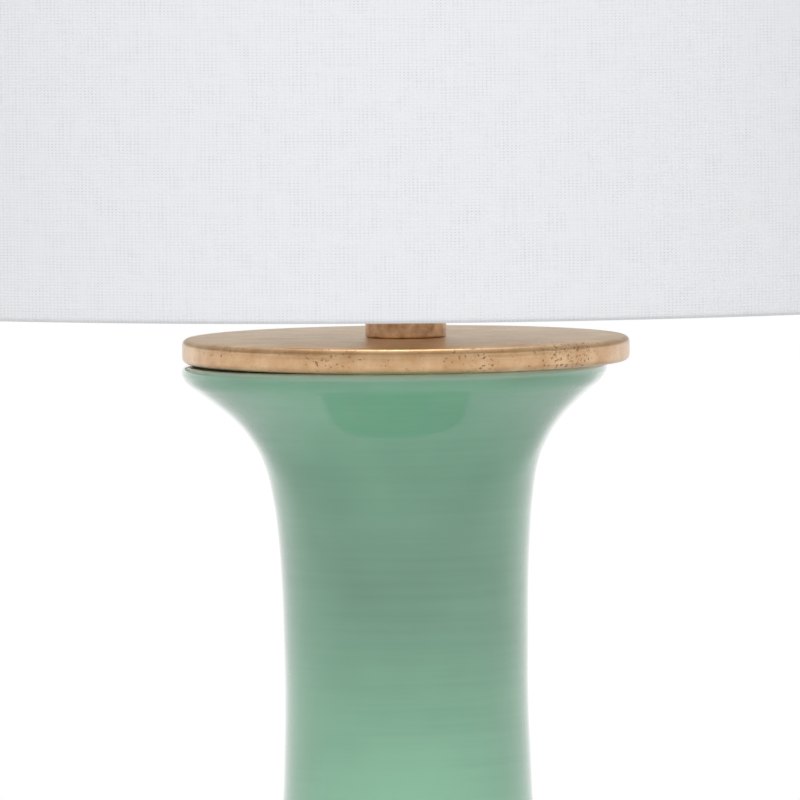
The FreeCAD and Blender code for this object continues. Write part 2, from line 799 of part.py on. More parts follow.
def bulb_screw_shell():
    """Metal cap of the bulb, drawn in at its lower end."""
    shoulder = 2.5
    return turned_polygon([(0, bulb_cap_z), (bulb_insulator_r, bulb_cap_z), (bulb_cap_r, bulb_cap_z + shoulder),
                           (bulb_cap_r, bulb_neck_z), (0, bulb_neck_z)])


def bulb_housing():
    """Plastic body between the metal cap and the diffuser, widening upwards."""
    neck = bulb_cap_r + 0.6
    flank = three_point_arc(at(neck, bulb_housing_z), at((neck + bulb_housing_r) * 0.5 + 0.5,
                            (bulb_housing_z + bulb_seam_z) * 0.5), at(bulb_housing_r, bulb_seam_z))
    edges = [segment(at(0, bulb_neck_z), at(neck, bulb_neck_z)), segment(at(neck, bulb_neck_z), at(neck, bulb_housing_z))]
    edges.append(flank)
    edges.append(segment(at(bulb_housing_r, bulb_seam_z), at(0, bulb_seam_z)))
    edges.append(segment(at(0, bulb_seam_z), at(0, bulb_neck_z)))
    return turned(edges)


def bulb_diffuser():
    """Frosted globe above the housing: a flank that swells to the globe, and a round crown."""
    globe_z = bulb_z1 - bulb_globe_r
    crown = bulb_globe_r / math.sqrt(2)
    flank = three_point_arc(at(bulb_housing_r, bulb_seam_z),
                            at(bulb_globe_r - (bulb_globe_r - bulb_housing_r) * 0.2, (bulb_seam_z + globe_z) * 0.5),
                            at(bulb_globe_r, globe_z))
    dome = three_point_arc(at(bulb_globe_r, globe_z), at(crown, globe_z + crown), at(0, bulb_z1))
    edges = [segment(at(0, bulb_seam_z), at(bulb_housing_r, bulb_seam_z)), flank, dome]
    edges.append(segment(at(0, bulb_z1), at(0, bulb_seam_z)))
    return turned(edges)


# ---------------------------------------------------------------------------------------------------------
# Shade and finial
# ---------------------------------------------------------------------------------------------------------

def spider_arm_path(angle):
    """Centre line of one arm: out of the hub, up a ramp, and level to the top ring."""
    out = Vector(math.cos(math.radians(angle)), math.sin(math.radians(angle)), 0)
    lift = Vector(0, 0, spider_drop)
    hub = Vector(0, 0, spider_z)
    ramp_start = spider_hub_r + spider_flat
    points = [hub + out * spider_arm_start, hub + out * ramp_start,
              hub + out * (ramp_start + spider_ramp) + lift, hub + out * spider_reach + lift]
    return rounded_path(points, [spider_bend_r, spider_bend_r])


def spider_angles():
    return [spider_first_angle + 360.0 * i / spider_arms for i in range(spider_arms)]


def shade_spider():
    """Hub washer with its arms, which end against the top ring."""
    hub = rod(spider_hub_r, spider_hub_z0, spider_hub_z1)
    arms = [wire_rod(spider_arm_path(angle), spider_wire_r) for angle in spider_angles()]
    body = hub.fuse(arms)
    return body.cut(rod(seat_pin_r + stud_hole_clear, spider_z - spider_wire_d, spider_z + spider_wire_d))


def hem_half(z_end, sign):
    """Corners of the fabric's outline at one end, from the outside inwards; sign is +1 at the bottom."""
    return [(shade_r, z_end + sign * hem_round), (shade_r - hem_round, z_end), (hem_in_r, z_end),
            (hem_in_r - fabric_thick, z_end + sign * fabric_thick),
            (hem_in_r - fabric_thick, z_end + sign * hem_turn), (hem_in_r, z_end + sign * hem_turn),
            (hem_in_r, z_end + sign * fabric_thick), (liner_outer_r, z_end + sign * fabric_thick)]


def shade_fabric():
    """Linen drum whose hems turn in round the rings, slit where the spider's arms pass."""
    bottom = hem_half(shade_z0, 1)
    top = hem_half(shade_z1, -1)
    drum = turned_polygon(bottom + top[::-1])
    slit_half = spider_wire_r + slip_clear
    slit_z0 = shade_z1 - hem_turn - 1
    slit_z1 = ring_z1 + spider_wire_r + slip_clear / 2
    slit_x = hem_in_r - 2 * fabric_thick
    slits = []
    for angle in spider_angles():
        slit = Part.makeBox(2 * fabric_thick + slip_clear, 2 * slit_half, slit_z1 - slit_z0,
                            Vector(slit_x, -slit_half, slit_z0))
        slit.rotate(Vector(0, 0, 0), UP, angle)
        slits.append(slit)
    return drum.cut(slits)


def shade_liner():
    """Stiff sheet that the linen is bonded to."""
    outer_r = liner_outer_r - press_clear
    inset = fabric_thick + slip_clear
    return tube(outer_r, outer_r - liner_sheet + press_clear, shade_z0 + inset, shade_z1 - inset)


def shade_ring(z):
    """Wire ring in a hem, drawn six-sided."""
    centre_r = ring_centre_r - press_clear
    corners = []
    for i in range(6):
        angle = math.radians(60 * i)
        corners.append((centre_r + ring_r * math.cos(angle), z + ring_r * math.sin(angle)))
    return turned_polygon(corners)


def finial_base():
    """Turned foot of the finial, threaded on the stud."""
    bore_r = seat_pin_r + run_clear
    bore_z1 = stud_z1 + part_clear
    spigot_z = finial_z1 - finial_spigot_h
    body = turned_polygon([(bore_r, finial_z0), (finial_flange_r, finial_z0),
                           (finial_flange_r, finial_z0 + finial_flange_thick),
                           (finial_neck_r, finial_z0 + finial_flange_thick + 2.0),
                           (finial_neck_r, spigot_z), (finial_shoulder_r, finial_z1), (0, finial_z1),
                           (0, bore_z1), (bore_r, bore_z1)])
    return body


def finial_knob():
    """Ball on the foot."""
    seat_half = finial_shoulder_r - 0.5
    centre_z = finial_z1 + math.sqrt(finial_ball_r ** 2 - seat_half ** 2)
    ball = Part.makeSphere(finial_ball_r, Vector(0, 0, centre_z))
    below = Part.makeBox(4 * finial_ball_r, 4 * finial_ball_r, 2 * finial_ball_r,
                         Vector(-2 * finial_ball_r, -2 * finial_ball_r, finial_z1 - 2 * finial_ball_r))
    return ball.cut(below)


# ---------------------------------------------------------------------------------------------------------
# Build
# ---------------------------------------------------------------------------------------------------------

export("felt_pad", felt_pad())
export("plinth", plinth())
export("cord_inlet_bushing", cord_inlet_bushing())
export("plinth_washer", plinth_washer())
export("plinth_nut", plinth_nut())
export("lamp_pipe", lamp_pipe())
export("vase", vase())
export("mouth_gasket", mouth_gasket())
export("cap_disc", cap_disc())
export("neck_collar", neck_collar())
export("harp_saddle", harp_saddle())
export("socket_cap", socket_cap())
export("socket_set_screw", socket_set_screw())
export("socket_shell", socket_shell())
export("socket_liner", socket_liner())
export("socket_body", socket_body())
export("socket_screw_shell", socket_screw_shell())
export("centre_contact", centre_contact())
export("hot_terminal_screw", terminal_screw())
export("neutral_terminal_screw", mirrored_x(terminal_screw()))
export("switch_bushing", switch_bushing())
export("switch_shaft", switch_shaft())
export("switch_knob", switch_knob())
export("harp_bow", harp_bow())
export("harp_ferrule_right", harp_ferrule())
export("harp_ferrule_left", mirrored_x(harp_ferrule()))
export("harp_seat", harp_seat())
export("shade_fabric", shade_fabric())
export("shade_liner", shade_liner())
export("shade_top_ring", shade_ring(ring_z1))
export("shade_bottom_ring", shade_ring(ring_z0))
export("shade_spider", shade_spider())
export("finial_base", finial_base())
export("finial_knob", finial_knob())
export("bulb_tip", bulb_tip())
export("bulb_insulator", bulb_insulator())
export("bulb_screw_shell", bulb_screw_shell())
export("bulb_housing", bulb_housing())
export("bulb_diffuser", bulb_diffuser())
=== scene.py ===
import json
import logging
import math
from bisect import bisect
from collections.abc import Iterable, Mapping, Sequence
from dataclasses import dataclass, field
from enum import Enum
from typing import Any

import bmesh
import bpy
from mathutils import Matrix, Vector, noise

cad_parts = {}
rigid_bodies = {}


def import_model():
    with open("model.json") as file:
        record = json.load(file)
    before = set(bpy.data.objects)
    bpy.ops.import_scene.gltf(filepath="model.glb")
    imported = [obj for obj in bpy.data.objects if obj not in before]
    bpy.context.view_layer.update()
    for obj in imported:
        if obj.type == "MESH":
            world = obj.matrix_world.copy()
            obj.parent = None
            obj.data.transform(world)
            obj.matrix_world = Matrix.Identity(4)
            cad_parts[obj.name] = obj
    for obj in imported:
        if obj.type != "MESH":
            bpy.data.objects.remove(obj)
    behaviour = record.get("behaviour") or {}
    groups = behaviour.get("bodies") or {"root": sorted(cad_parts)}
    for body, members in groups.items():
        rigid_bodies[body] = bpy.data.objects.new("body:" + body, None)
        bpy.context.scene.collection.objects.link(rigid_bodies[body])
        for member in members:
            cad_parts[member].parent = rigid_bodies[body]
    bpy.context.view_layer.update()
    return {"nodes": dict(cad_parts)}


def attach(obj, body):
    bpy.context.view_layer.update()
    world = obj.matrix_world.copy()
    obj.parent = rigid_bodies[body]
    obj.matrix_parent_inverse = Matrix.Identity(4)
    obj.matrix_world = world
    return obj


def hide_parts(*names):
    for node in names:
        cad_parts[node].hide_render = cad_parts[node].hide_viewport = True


for leftover in list(bpy.data.objects):
    bpy.data.objects.remove(leftover)
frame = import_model()

# Looks of a table lamp: a celadon-glazed vase with a trumpet mouth on a gilded plinth, a gilded cap and
# collar over its mouth, a brass socket and harp, and a white linen drum shade. Shapes are drawn in
# millimetres, +Z up.

LOG = logging.getLogger("lamp")
METRE = 1000.0
TURN = 2.0 * math.pi
# Points this close become one. A bar has 48 faces round it, and a wire has 12 in each bend.
WELD = 0.0005
BAR_STEPS = 48
BEND_STEPS = 12

Colour = tuple[float, float, float, float]
Corner = tuple[float, float, float]
Point = tuple[float, float]
Triple = tuple[float, float, float]
Shape = bmesh.types.BMesh
Output = bpy.types.NodeSocket

# Spans that hold most of a noise's values, and nearly all of them.
MIDDLE: Point = (0.35, 0.65)
WIDE: Point = (0.3, 0.7)
WHITE: Colour = (1.0, 1.0, 1.0, 1.0)


class Body(Enum):
    """Parts of the lamp that move as one."""

    STAND = "root"
    SWITCH = "switch"
    HARP = "harp"
    FERRULE_RIGHT = "ferrule_right"
    FERRULE_LEFT = "ferrule_left"
    HARP_SEAT = "harp_seat"
    SHADE = "shade"
    FINIAL = "finial"
    BULB = "bulb"


class Grain(Enum):
    """Which way the fine lines of a worked metal run, as the stretch of its noise along x, y and z."""

    ROUND_THE_AXIS = (0.03, 0.03, 1.0)
    NONE = (1.0, 1.0, 1.0)


# -------------------------------------------------------------------------------------------------------------
# Finishes
# -------------------------------------------------------------------------------------------------------------

def linear(hex_code: str) -> Colour:
    """Turns an sRGB hex colour into a linear one.

    Args:
        hex_code: Six hex digits after a hash sign.

    Returns:
        Linear red, green and blue, and an alpha of 1.
    """
    channels = [int(hex_code[i:i + 2], 16) / 255.0 for i in (1, 3, 5)]
    red, green, blue = [c / 12.92 if c <= 0.04045 else ((c + 0.055) / 1.055) ** 2.4 for c in channels]
    return red, green, blue, 1.0


def per_metre(size: float) -> float:
    """Gives the texture scale at which one cell is this many millimetres wide."""
    return METRE / size


@dataclass(frozen=True)
class Nodes:
    """A node tree, with short ways to add the nodes that the finishes share."""

    tree: bpy.types.NodeTree

    def add(self, kind: str, inputs: Mapping[Any, Any] | None = None, **settings: Any) -> bpy.types.Node:
        """Adds a shader node with its settings, values and links.

        Args:
            kind: The node's type, without its ShaderNode prefix.
            inputs: For an input's name or index, a value or the output that feeds it.
            settings: Properties of the node.

        Returns:
            The new node.
        """
        node = self.tree.nodes.new("ShaderNode" + kind)
        for name, value in settings.items():
            setattr(node, name, value)
        for key, value in (inputs or {}).items():
            if isinstance(value, Output):
                self.tree.links.new(value, node.inputs[key])
            else:
                node.inputs[key].default_value = value
        return node

    def place(self) -> Output:
        """Gives the place on the object."""
        return self.add("TexCoord").outputs["Object"]

    def noise(self, place: Output, size: float, detail: float = 2.0, **inputs: float) -> Output:
        """Adds noise with cells this many millimetres wide."""
        values = {"Vector": place, "Scale": per_metre(size), "Detail": detail, **inputs}
        return self.add("TexNoise", values).outputs["Fac"]

    def streaks(self, place: Output, sizes: Triple, detail: float = 2.0) -> Output:
        """Adds noise with cells this many millimetres long in x, y and z."""
        along = self.add("Mapping", {"Vector": place, "Scale": tuple(map(per_metre, sizes))}).outputs[0]
        return self.add("TexNoise", {"Vector": along, "Scale": 1.0, "Detail": detail}).outputs["Fac"]

    def remap(self, value: Output, span: Point, to: Point = (0.0, 1.0), kind: str = "LINEAR") -> Output:
        """Maps one span of values to another, and holds what lies outside it."""
        inputs = {"Value": value, "From Min": span[0], "From Max": span[1], "To Min": to[0], "To Max": to[1]}
        return self.add("MapRange", inputs, interpolation_type=kind).outputs["Result"]

    def blend(self, share: Output, low: str | Output, high: str | Output) -> Output:
        """Mixes two colours, each a hex code or an output."""
        first, second = [linear(colour) if isinstance(colour, str) else colour for colour in (low, high)]
        return self.add("Mix", {0: share, 6: first, 7: second}, data_type="RGBA").outputs[2]

    def mix(self, share: float | Output, low: float | Output, high: float | Output) -> Output:
        """Mixes two values."""
        return self.add("Mix", {0: share, 2: low, 3: high}).outputs[0]

    def calculate(self, operation: str, *values: float | Output, **settings: Any) -> Output:
        """Works out one operation on up to three values."""
        return self.add("Math", dict(enumerate(values)), operation=operation, **settings).outputs[0]

    def bump(self, height: Output, strength: float, depth: float) -> Output:
        """Turns a height of 0 to 1 into relief this many millimetres deep."""
        inputs = {"Height": height, "Strength": strength, "Distance": depth / METRE}
        return self.add("Bump", inputs).outputs["Normal"]

    def principled(self, inputs: Mapping[str, Any]) -> Output:
        """Adds the shader of a surface."""
        return self.add("BsdfPrincipled", inputs).outputs["BSDF"]


def empty_nodes(owner: bpy.types.Material | bpy.types.World) -> Nodes:
    """Gives a material or a world an empty node tree.

    Args:
        owner: The material or the world.

    Returns:
        Its nodes.
    """
    owner.use_nodes = True
    owner.node_tree.nodes.clear()
    return Nodes(owner.node_tree)


@dataclass(frozen=True)
class Finish:
    """A surface finish, which makes one material."""

    title: str

    def material(self) -> bpy.types.Material:
        """Makes the finish's material on first use.

        Returns:
            The material of this title.
        """
        made = bpy.data.materials.get(self.title)
        if made is None:
            made = bpy.data.materials.new(self.title)
            nodes = empty_nodes(made)
            nodes.add("OutputMaterial", {"Surface": self.surface(nodes)})
        return made

    def surface(self, nodes: Nodes) -> Output:
        """Builds the finish's nodes.

        Args:
            nodes: Nodes of the material.

        Returns:
            The shader's output.
        """
        raise NotImplementedError


@dataclass(frozen=True)
class CeladonGlaze(Finish):
    """Celadon glaze over thrown stoneware, dipped and fired: a wet gloss over faint throwing lines.

    The glaze runs thin and olive on the lip, and a few iron specks show through it. Painted light makes the
    lip paler against the cap's shadow, and the lower neck paler for the light that reaches it below the
    lampshade.
    """

    title: str = "celadon glaze on stoneware"
    deep: str = "#71A88C"
    pale: str = "#89C5A3"
    # Thin glaze on the lip. Part of its paleness is painted light against the cap's shadow.
    thin: str = "#D8F5E4"
    iron: str = "#4E5C48"
    line_height: float = 2.0
    line_length: float = 55.0
    line_share: float = 0.22
    cloud: float = 42.0
    # Painted light: the heights over which the lower neck is painted paler, and how much paler.
    painted_light_span: Point = (352.0, 305.0)
    painted_light_share: float = 0.45
    speck_cell: float = 26.0
    speck: float = 0.35
    clean_cells: float = 0.55
    lip_z: float = 413.9
    lip_band: float = 2.6
    lip_lightening_share: float = 0.95
    wave: float = 11.0
    line_relief: float = 0.12

    def surface(self, nodes: Nodes) -> Output:
        """Builds the glaze; see Finish.surface."""
        place = nodes.place()
        # Throwing lines run round the pot, 2 mm apart, over clouds of about 42 mm.
        lines = nodes.streaks(place, (self.line_length, self.line_length, self.line_height), 3.0)
        mottle = nodes.mix(self.line_share, nodes.noise(place, self.cloud), lines)
        height = nodes.add("SeparateXYZ", {"Vector": place}).outputs["Z"]
        # Painted light: below the neck's upper third the glaze is painted paler, for the light that reaches
        # the lower neck past the lampshade.
        start, end = self.painted_light_span
        painted_lower_light = nodes.remap(height, (start / METRE, end / METRE), (0.0, self.painted_light_share), "SMOOTHSTEP")
        share = nodes.calculate("ADD", nodes.remap(mottle, (0.25, 0.75)), painted_lower_light, use_clamp=True)
        glaze = nodes.blend(share, self.deep, self.pale)
        # Iron specks are 0.35 mm wide, with at most one in a cell of 26 mm and none in most cells.
        cells = nodes.add("TexVoronoi", {"Vector": place, "Scale": per_metre(self.speck_cell)}).outputs
        reach = self.speck / self.speck_cell
        odd = nodes.add("SeparateColor", {"Color": cells["Color"]}).outputs[0]
        chosen = nodes.calculate("GREATER_THAN", odd, self.clean_cells)
        specked = nodes.calculate("MULTIPLY", nodes.remap(cells["Distance"], (reach, 0.4 * reach)), chosen)
        colour = nodes.blend(specked, glaze, self.iron)
        # On the lip's last 2.6 mm the glaze is thin, and it is painted paler still as painted light against
        # the cap's shadow.
        low, high = (self.lip_z - self.lip_band) / METRE, self.lip_z / METRE
        lip = nodes.remap(height, (low, high), (0.0, self.lip_lightening_share), "SMOOTHSTEP")
        # Fired glaze levels itself into shallow waves of about 11 mm.
        relief = nodes.mix(self.line_relief, nodes.noise(place, self.wave, 1.0), lines)
        return nodes.principled({
            "Base Color": nodes.blend(lip, colour, self.thin), "Roughness": 0.06, "IOR": 1.52,
            "Coat Weight": 1.0, "Coat Roughness": 0.03, "Normal": nodes.bump(relief, 0.25, 0.5)})


@dataclass(frozen=True)
class GoldLeaf(Finish):
    """Rubbed gold leaf over red-brown bole on turned wood: satin metal, with bole in pits and worn places.

    worn_places are points of the surface and how far from them the wear reaches.
    """

    title: str = "rubbed gold leaf on turned wood"
    leaf: str = "#E3BE93"
    rubbed: str = "#C99A6B"
    bole: str = "#9A6641"
    tone: float = 9.0
    pit: float = 0.9
    patch: float = 16.0
    patch_wear: float = 0.075
    worn_places: tuple[tuple[Triple, float], ...] = ()
    place_wear: float = 0.085
    lathe_line: float = 0.5
    lathe_run: float = 40.0
    roughness: float = 0.34
    bole_roughness: float = 0.65
    bole_metal: float = 0.1

    def wear(self, nodes: Nodes, place: Output) -> Output:
        """Builds the mask of the places where the leaf is gone.

        Args:
            nodes: Nodes of the material.
            place: Object coordinates.

        Returns:
            1 where bole shows and 0 on whole leaf.
        """
        # Pits of 0.9 mm, thicker in patches of about 16 mm and round the worn places.
        amount = nodes.remap(nodes.noise(place, self.patch), (0.4, 0.75), (0.0, self.patch_wear))
        for centre, reach in self.worn_places:
            spot = tuple(c / METRE for c in centre)
            away = nodes.add("VectorMath", {0: place, 1: spot}, operation="DISTANCE").outputs["Value"]
            worn = nodes.remap(away, (reach / METRE, 0.0), (0.0, self.place_wear))
            amount = nodes.calculate("ADD", amount, worn)
        grit = nodes.noise(place, self.pit, 4.0, Roughness=0.62)
        return nodes.remap(nodes.calculate("ADD", grit, amount), (0.66, 0.72))

    def surface(self, nodes: Nodes) -> Output:
        """Builds the leaf; see Finish.surface."""
        place = nodes.place()
        tones = nodes.noise(place, self.tone, 5.0, Roughness=0.6)
        leaf = nodes.blend(nodes.remap(tones, MIDDLE), self.rubbed, self.leaf)
        mask = self.wear(nodes, place)
        # Lathe lines show under the leaf, half a millimetre apart.
        lines = nodes.streaks(place, (self.lathe_run, self.lathe_run, self.lathe_line))
        relief = nodes.calculate("MULTIPLY_ADD", mask, -1.0, lines)
        return nodes.principled({
            "Base Color": nodes.blend(mask, leaf, self.bole),
            "Metallic": nodes.remap(mask, (0.0, 1.0), (1.0, self.bole_metal)),
            "Roughness": nodes.mix(mask, self.roughness, self.bole_roughness),
            "Coat Weight": 0.8, "Coat Roughness": 0.35, "Normal": nodes.bump(relief, 0.5, 0.12)})


@dataclass(frozen=True)
class Linen(Finish):
    """White linen in plain weave, bonded and stretched: matt yarns with small dark gaps where they cross.

    The grey in the gaps is painted shade. The weave follows the cloth's own UV map, which is in metres of flat
    cloth.
    """

    title: str = "white plain-weave linen"
    yarn: str = "#ECEDF0"
    # Painted shade in the gaps between the yarns.
    gap_shade: str = "#C0C2C8"
    warp_pitch: float = 1.07
    weft_pitch: float = 0.77
    slub_length: float = 11.0
    stray: float = 0.3
    stray_length: float = 5.0
    loose: float = 6.0
    gap_shade_share: float = 0.72
    depth: float = 0.75

    def yarns(self, nodes: Nodes, flat: Output) -> tuple[Output, Output]:
        """Builds the weave's relief and its gaps.

        Args:
            nodes: Nodes of the material.
            flat: Place on the flat cloth, in metres.

        Returns:
            Height from 0 to 1, and 1 in the gaps between yarns, where shade is painted.
        """
        # The yarns, 1.07 and 0.77 mm apart, stray by up to 0.3 mm.
        values = {"Vector": flat, "Scale": per_metre(self.stray_length), "Detail": 2.0}
        wander = nodes.add("TexNoise", values).outputs["Color"]
        inputs = {0: wander, 1: (self.stray / METRE,) * 3, 2: flat}
        strayed = nodes.add("VectorMath", inputs, operation="MULTIPLY_ADD").outputs["Vector"]
        parts = nodes.add("SeparateXYZ", {"Vector": strayed}).outputs
        waves = [nodes.calculate("SINE", nodes.calculate("MULTIPLY", parts[axis], math.pi * per_metre(pitch)))
                 for axis, pitch in (("X", self.warp_pitch), ("Y", self.weft_pitch))]
        warp, weft = [nodes.calculate("ABSOLUTE", wave) for wave in waves]
        warp_on_top = nodes.remap(nodes.calculate("MULTIPLY", *waves), (-0.3, 0.3))
        gaps = nodes.remap(nodes.calculate("MAXIMUM", warp, weft), (0.75, 0.2))
        # The weave is looser in patches of about 6 mm, where the painted shade in the gaps is stronger.
        openness = nodes.remap(nodes.noise(flat, self.loose, 3.0), MIDDLE, (0.3, 1.0))
        return nodes.mix(warp_on_top, weft, warp), nodes.calculate("MULTIPLY", gaps, openness)

    def surface(self, nodes: Nodes) -> Output:
        """Builds the cloth; see Finish.surface."""
        flat = nodes.add("TexCoord").outputs["UV"]
        height, gaps = self.yarns(nodes, flat)
        # Slubs, thick and thin places 11 mm long in the yarns of both ways.
        slubs = [nodes.streaks(flat, size, 1.0) for size in ((self.warp_pitch, self.slub_length, METRE),
                                                             (self.slub_length, self.weft_pitch, METRE))]
        uneven = nodes.remap(nodes.calculate("ADD", *slubs), (0.7, 1.3), (0.05, 1.0))
        # Painted shade: the yarn colour goes towards the gap colour in the gaps, and also with the slubs'
        # tone.
        share = nodes.remap(nodes.mix(self.gap_shade_share, uneven, gaps), (0.2, 1.0), (0.0, self.depth))
        return nodes.principled({
            "Base Color": nodes.blend(share, self.yarn, self.gap_shade), "Roughness": 0.9,
            "Specular IOR Level": 0.2, "Sheen Weight": 0.1, "Normal": nodes.bump(height, 0.4, 0.1)})


@dataclass(frozen=True)
class WorkedMetal(Finish):
    """Sheet or turned metal with working lines 0.4 mm apart and a little tarnish in soft clouds."""

    title: str = "lacquered brass"
    bright: str = "#E0BF7A"
    dull: str = "#B58F4E"
    roughness: float = 0.22
    grain: Grain = Grain.NONE
    line: float = 0.4
    cloud: float = 7.0
    relief: float = 0.02

    def surface(self, nodes: Nodes) -> Output:
        """Builds the metal; see Finish.surface."""
        place = nodes.place()
        lines = nodes.streaks(place, tuple(self.line / stretch for stretch in self.grain.value))
        clouds = nodes.noise(place, self.cloud, 3.0)
        uneven = nodes.mix(0.5, lines, clouds)
        return nodes.principled({
            "Base Color": nodes.blend(nodes.remap(clouds, (0.42, 0.7)), self.bright, self.dull),
            "Roughness": nodes.remap(uneven, WIDE, (0.75 * self.roughness, 1.4 * self.roughness)),
            "Metallic": 1.0, "Normal": nodes.bump(lines, 0.4, self.relief)})


@dataclass(frozen=True)
class Moulding(Finish):
    """Moulded or pressed non-metal: an even colour with faint flow marks and a fine texture.

    texture and flow_size are the widths of the two patterns, 0.5 and 12 mm on phenolic.
    """

    title: str = "moulded phenolic"
    colour: str = "#2A2320"
    flow: str = "#37302B"
    roughness: float = 0.3
    texture: float = 0.5
    relief: float = 0.02
    flow_size: float = 12.0
    ior: float = 1.5

    def surface(self, nodes: Nodes) -> Output:
        """Builds the moulding; see Finish.surface."""
        place = nodes.place()
        marks = nodes.noise(place, self.flow_size, 3.0, Distortion=0.8)
        grain = nodes.noise(place, self.texture)
        return nodes.principled({
            "Base Color": nodes.blend(nodes.remap(marks, MIDDLE), self.colour, self.flow), "IOR": self.ior,
            "Roughness": nodes.remap(grain, WIDE, (0.85 * self.roughness, 1.15 * self.roughness)),
            "Normal": nodes.bump(grain, 0.4, self.relief)})


@dataclass(frozen=True)
class WoolFelt(Finish):
    """Pressed wool felt: matted fibres 0.1 mm thick, drawn 0.6 mm wide so that they show."""

    title: str = "pressed wool felt"
    wool: str = "#4B5148"
    shadow: str = "#2E332C"
    fibre: float = 0.6

    def surface(self, nodes: Nodes) -> Output:
        """Builds the felt; see Finish.surface."""
        fibres = nodes.noise(nodes.place(), self.fibre, 5.0, Roughness=0.7, Distortion=1.5)
        return nodes.principled({
            "Base Color": nodes.blend(nodes.remap(fibres, MIDDLE), self.shadow, self.wool), "Roughness": 0.95,
            "Sheen Weight": 0.3, "Specular IOR Level": 0.2, "Normal": nodes.bump(fibres, 0.7, 0.3)})


# The vase: wet green gloss over soft rings, and olive where it thins on the lip. Painted light makes the lip
# and the lower neck paler.
GLAZE = CeladonGlaze()
# The cap, the plinth and the finial's ball: satin gold with brown pits, worn on the cap's front edge.
LEAF = GoldLeaf(worn_places=(
    ((43.0, -46.5, 417.5), 20.0), ((19.0, -60.5, 416.5), 9.0), ((-24.0, -58.8, 416.0), 6.0)))
# The collar: the same leaf in a redder gold with smaller clouds. Its leaf is painted paler than the cap's,
# painted light against the lampshade's shadow on the collar.
COPPERY_LEAF_PAINTED_PALER = GoldLeaf(title="rubbed gold leaf, copper tone", leaf="#EDC6A0", rubbed="#B98A62",
                        bole="#7A4C32", tone=4.0)
# The shade: matt white, with painted shade in a fine grid of grey gaps.
LINEN = Linen()
# Small turned pieces: a warm yellow shine with browner clouds.
BRASS = WorkedMetal()
# The socket's cap and shell: the same brass, with lines round the axis that draw its highlights out.
SPUN_BRASS = WorkedMetal(title="spun brass", grain=Grain.ROUND_THE_AXIS, roughness=0.26)
# Harp, rings and spider: a paler and softer yellow than solid brass.
PLATED_WIRE = WorkedMetal(title="brass-plated steel wire", bright="#DDC58E", dull="#B79C62", roughness=0.28)
# Nut, washer and set screw: dull cool grey in small clouds.
ZINC = WorkedMetal(title="zinc-plated steel", bright="#C4C6C8", dull="#9A9C9E", roughness=0.35, cloud=4.0)
# The neutral screw: a bright grey that tells it from the brass one.
NICKEL = WorkedMetal(title="nickel-plated brass", bright="#D8D4CC", dull="#B4AFA6", roughness=0.2)
# Screw shells: a soft white-grey sheen along the rolling lines.
ALUMINIUM = WorkedMetal(title="rolled aluminium", bright="#DADBDD", dull="#BDBEC1",
                        grain=Grain.ROUND_THE_AXIS, roughness=0.32)
# The bulb's tip: a dull grey bead.
SOLDER = WorkedMetal(title="tin-lead solder", bright="#B9BABB", dull="#8F9193", roughness=0.4, cloud=2.0)
# Knob, socket core and bulb insulator: brown-black with a soft gloss.
PHENOLIC = Moulding()
# The cord inlet: black and duller than the knob.
NYLON = Moulding(title="moulded nylon", colour="#26211E", flow="#2E2825", roughness=0.5, relief=0.04)
# The socket's liner: matt tan board.
FIBRE_BOARD = Moulding(title="vulcanised fibre", colour="#A88E6C", flow="#96795A", roughness=0.7, texture=0.8,
                       flow_size=6.0)
# The gasket: dark rubber, which fills the crevice under the cap and stands in for its shade as the thin dark
# line.
CREVICE_SHADE_RUBBER = Moulding(title="dark rubber", colour="#2F302A", flow="#3A3A32", roughness=0.75, texture=0.7,
                  relief=0.05)
# The bulb's housing: clean white with a soft highlight.
POLYCARBONATE = Moulding(title="white polycarbonate", colour="#ECEBE7", flow="#E6E4DF", roughness=0.38,
                         ior=1.58)
# The bulb's globe: warmer, and more matt than the housing.
FROSTED_GLOBE = Moulding(title="frosted polycarbonate", colour="#F6F5EF", flow="#F1F0E9", roughness=0.5,
                         texture=0.4, ior=1.58)
# Inside the shade: smooth warm white with a faint sheen.
STYRENE = Moulding(title="white styrene sheet", colour="#F3F2EE", flow="#EFEEEA", roughness=0.42, texture=2.5,
                   flow_size=60.0)
# Under the plinth: grey-green fibres without shine.
FELT = WoolFelt()


# -------------------------------------------------------------------------------------------------------------
# Shapes
# -------------------------------------------------------------------------------------------------------------

def draw_outline(corners: Sequence[Corner], closed: bool = True) -> Shape:
    """Draws an outline in the XZ plane and rounds its corners.

    Args:
        corners: Radius, height and rounding of each corner, in order.
        closed: Whether the last corner is joined to the first.

    Returns:
        A mesh of edges.
    """
    shape = bmesh.new()
    points = [shape.verts.new((radius, 0.0, height)) for radius, height, _ in corners]
    for start, end in zip(points, points[1:]):
        shape.edges.new((start, end))
    if closed:
        shape.edges.new((points[-1], points[0]))
    for rounding in sorted({corner[2] for corner in corners if corner[2] > 0.0}):
        chosen = [point for point, corner in zip(points, corners) if corner[2] == rounding]
        bmesh.ops.bevel(shape, geom=chosen, offset=rounding, offset_type="OFFSET", segments=5, profile=0.5,
                        affect="VERTICES", material=-1)
    return shape


def spin_outline(shape: Shape, steps: int = 96) -> Shape:
    """Spins an outline right round the Z axis.

    Args:
        shape: Outline in the XZ plane.
        steps: Faces in a full turn.

    Returns:
        The same mesh, now a turned surface.
    """
    bmesh.ops.spin(shape, geom=[*shape.verts, *shape.edges], cent=(0.0, 0.0, 0.0), axis=(0.0, 0.0, 1.0),
                   dvec=(0.0, 0.0, 0.0), angle=TURN, steps=steps, use_merge=True, use_duplicate=False)
    bmesh.ops.remove_doubles(shape, verts=shape.verts, dist=WELD)
    return shape


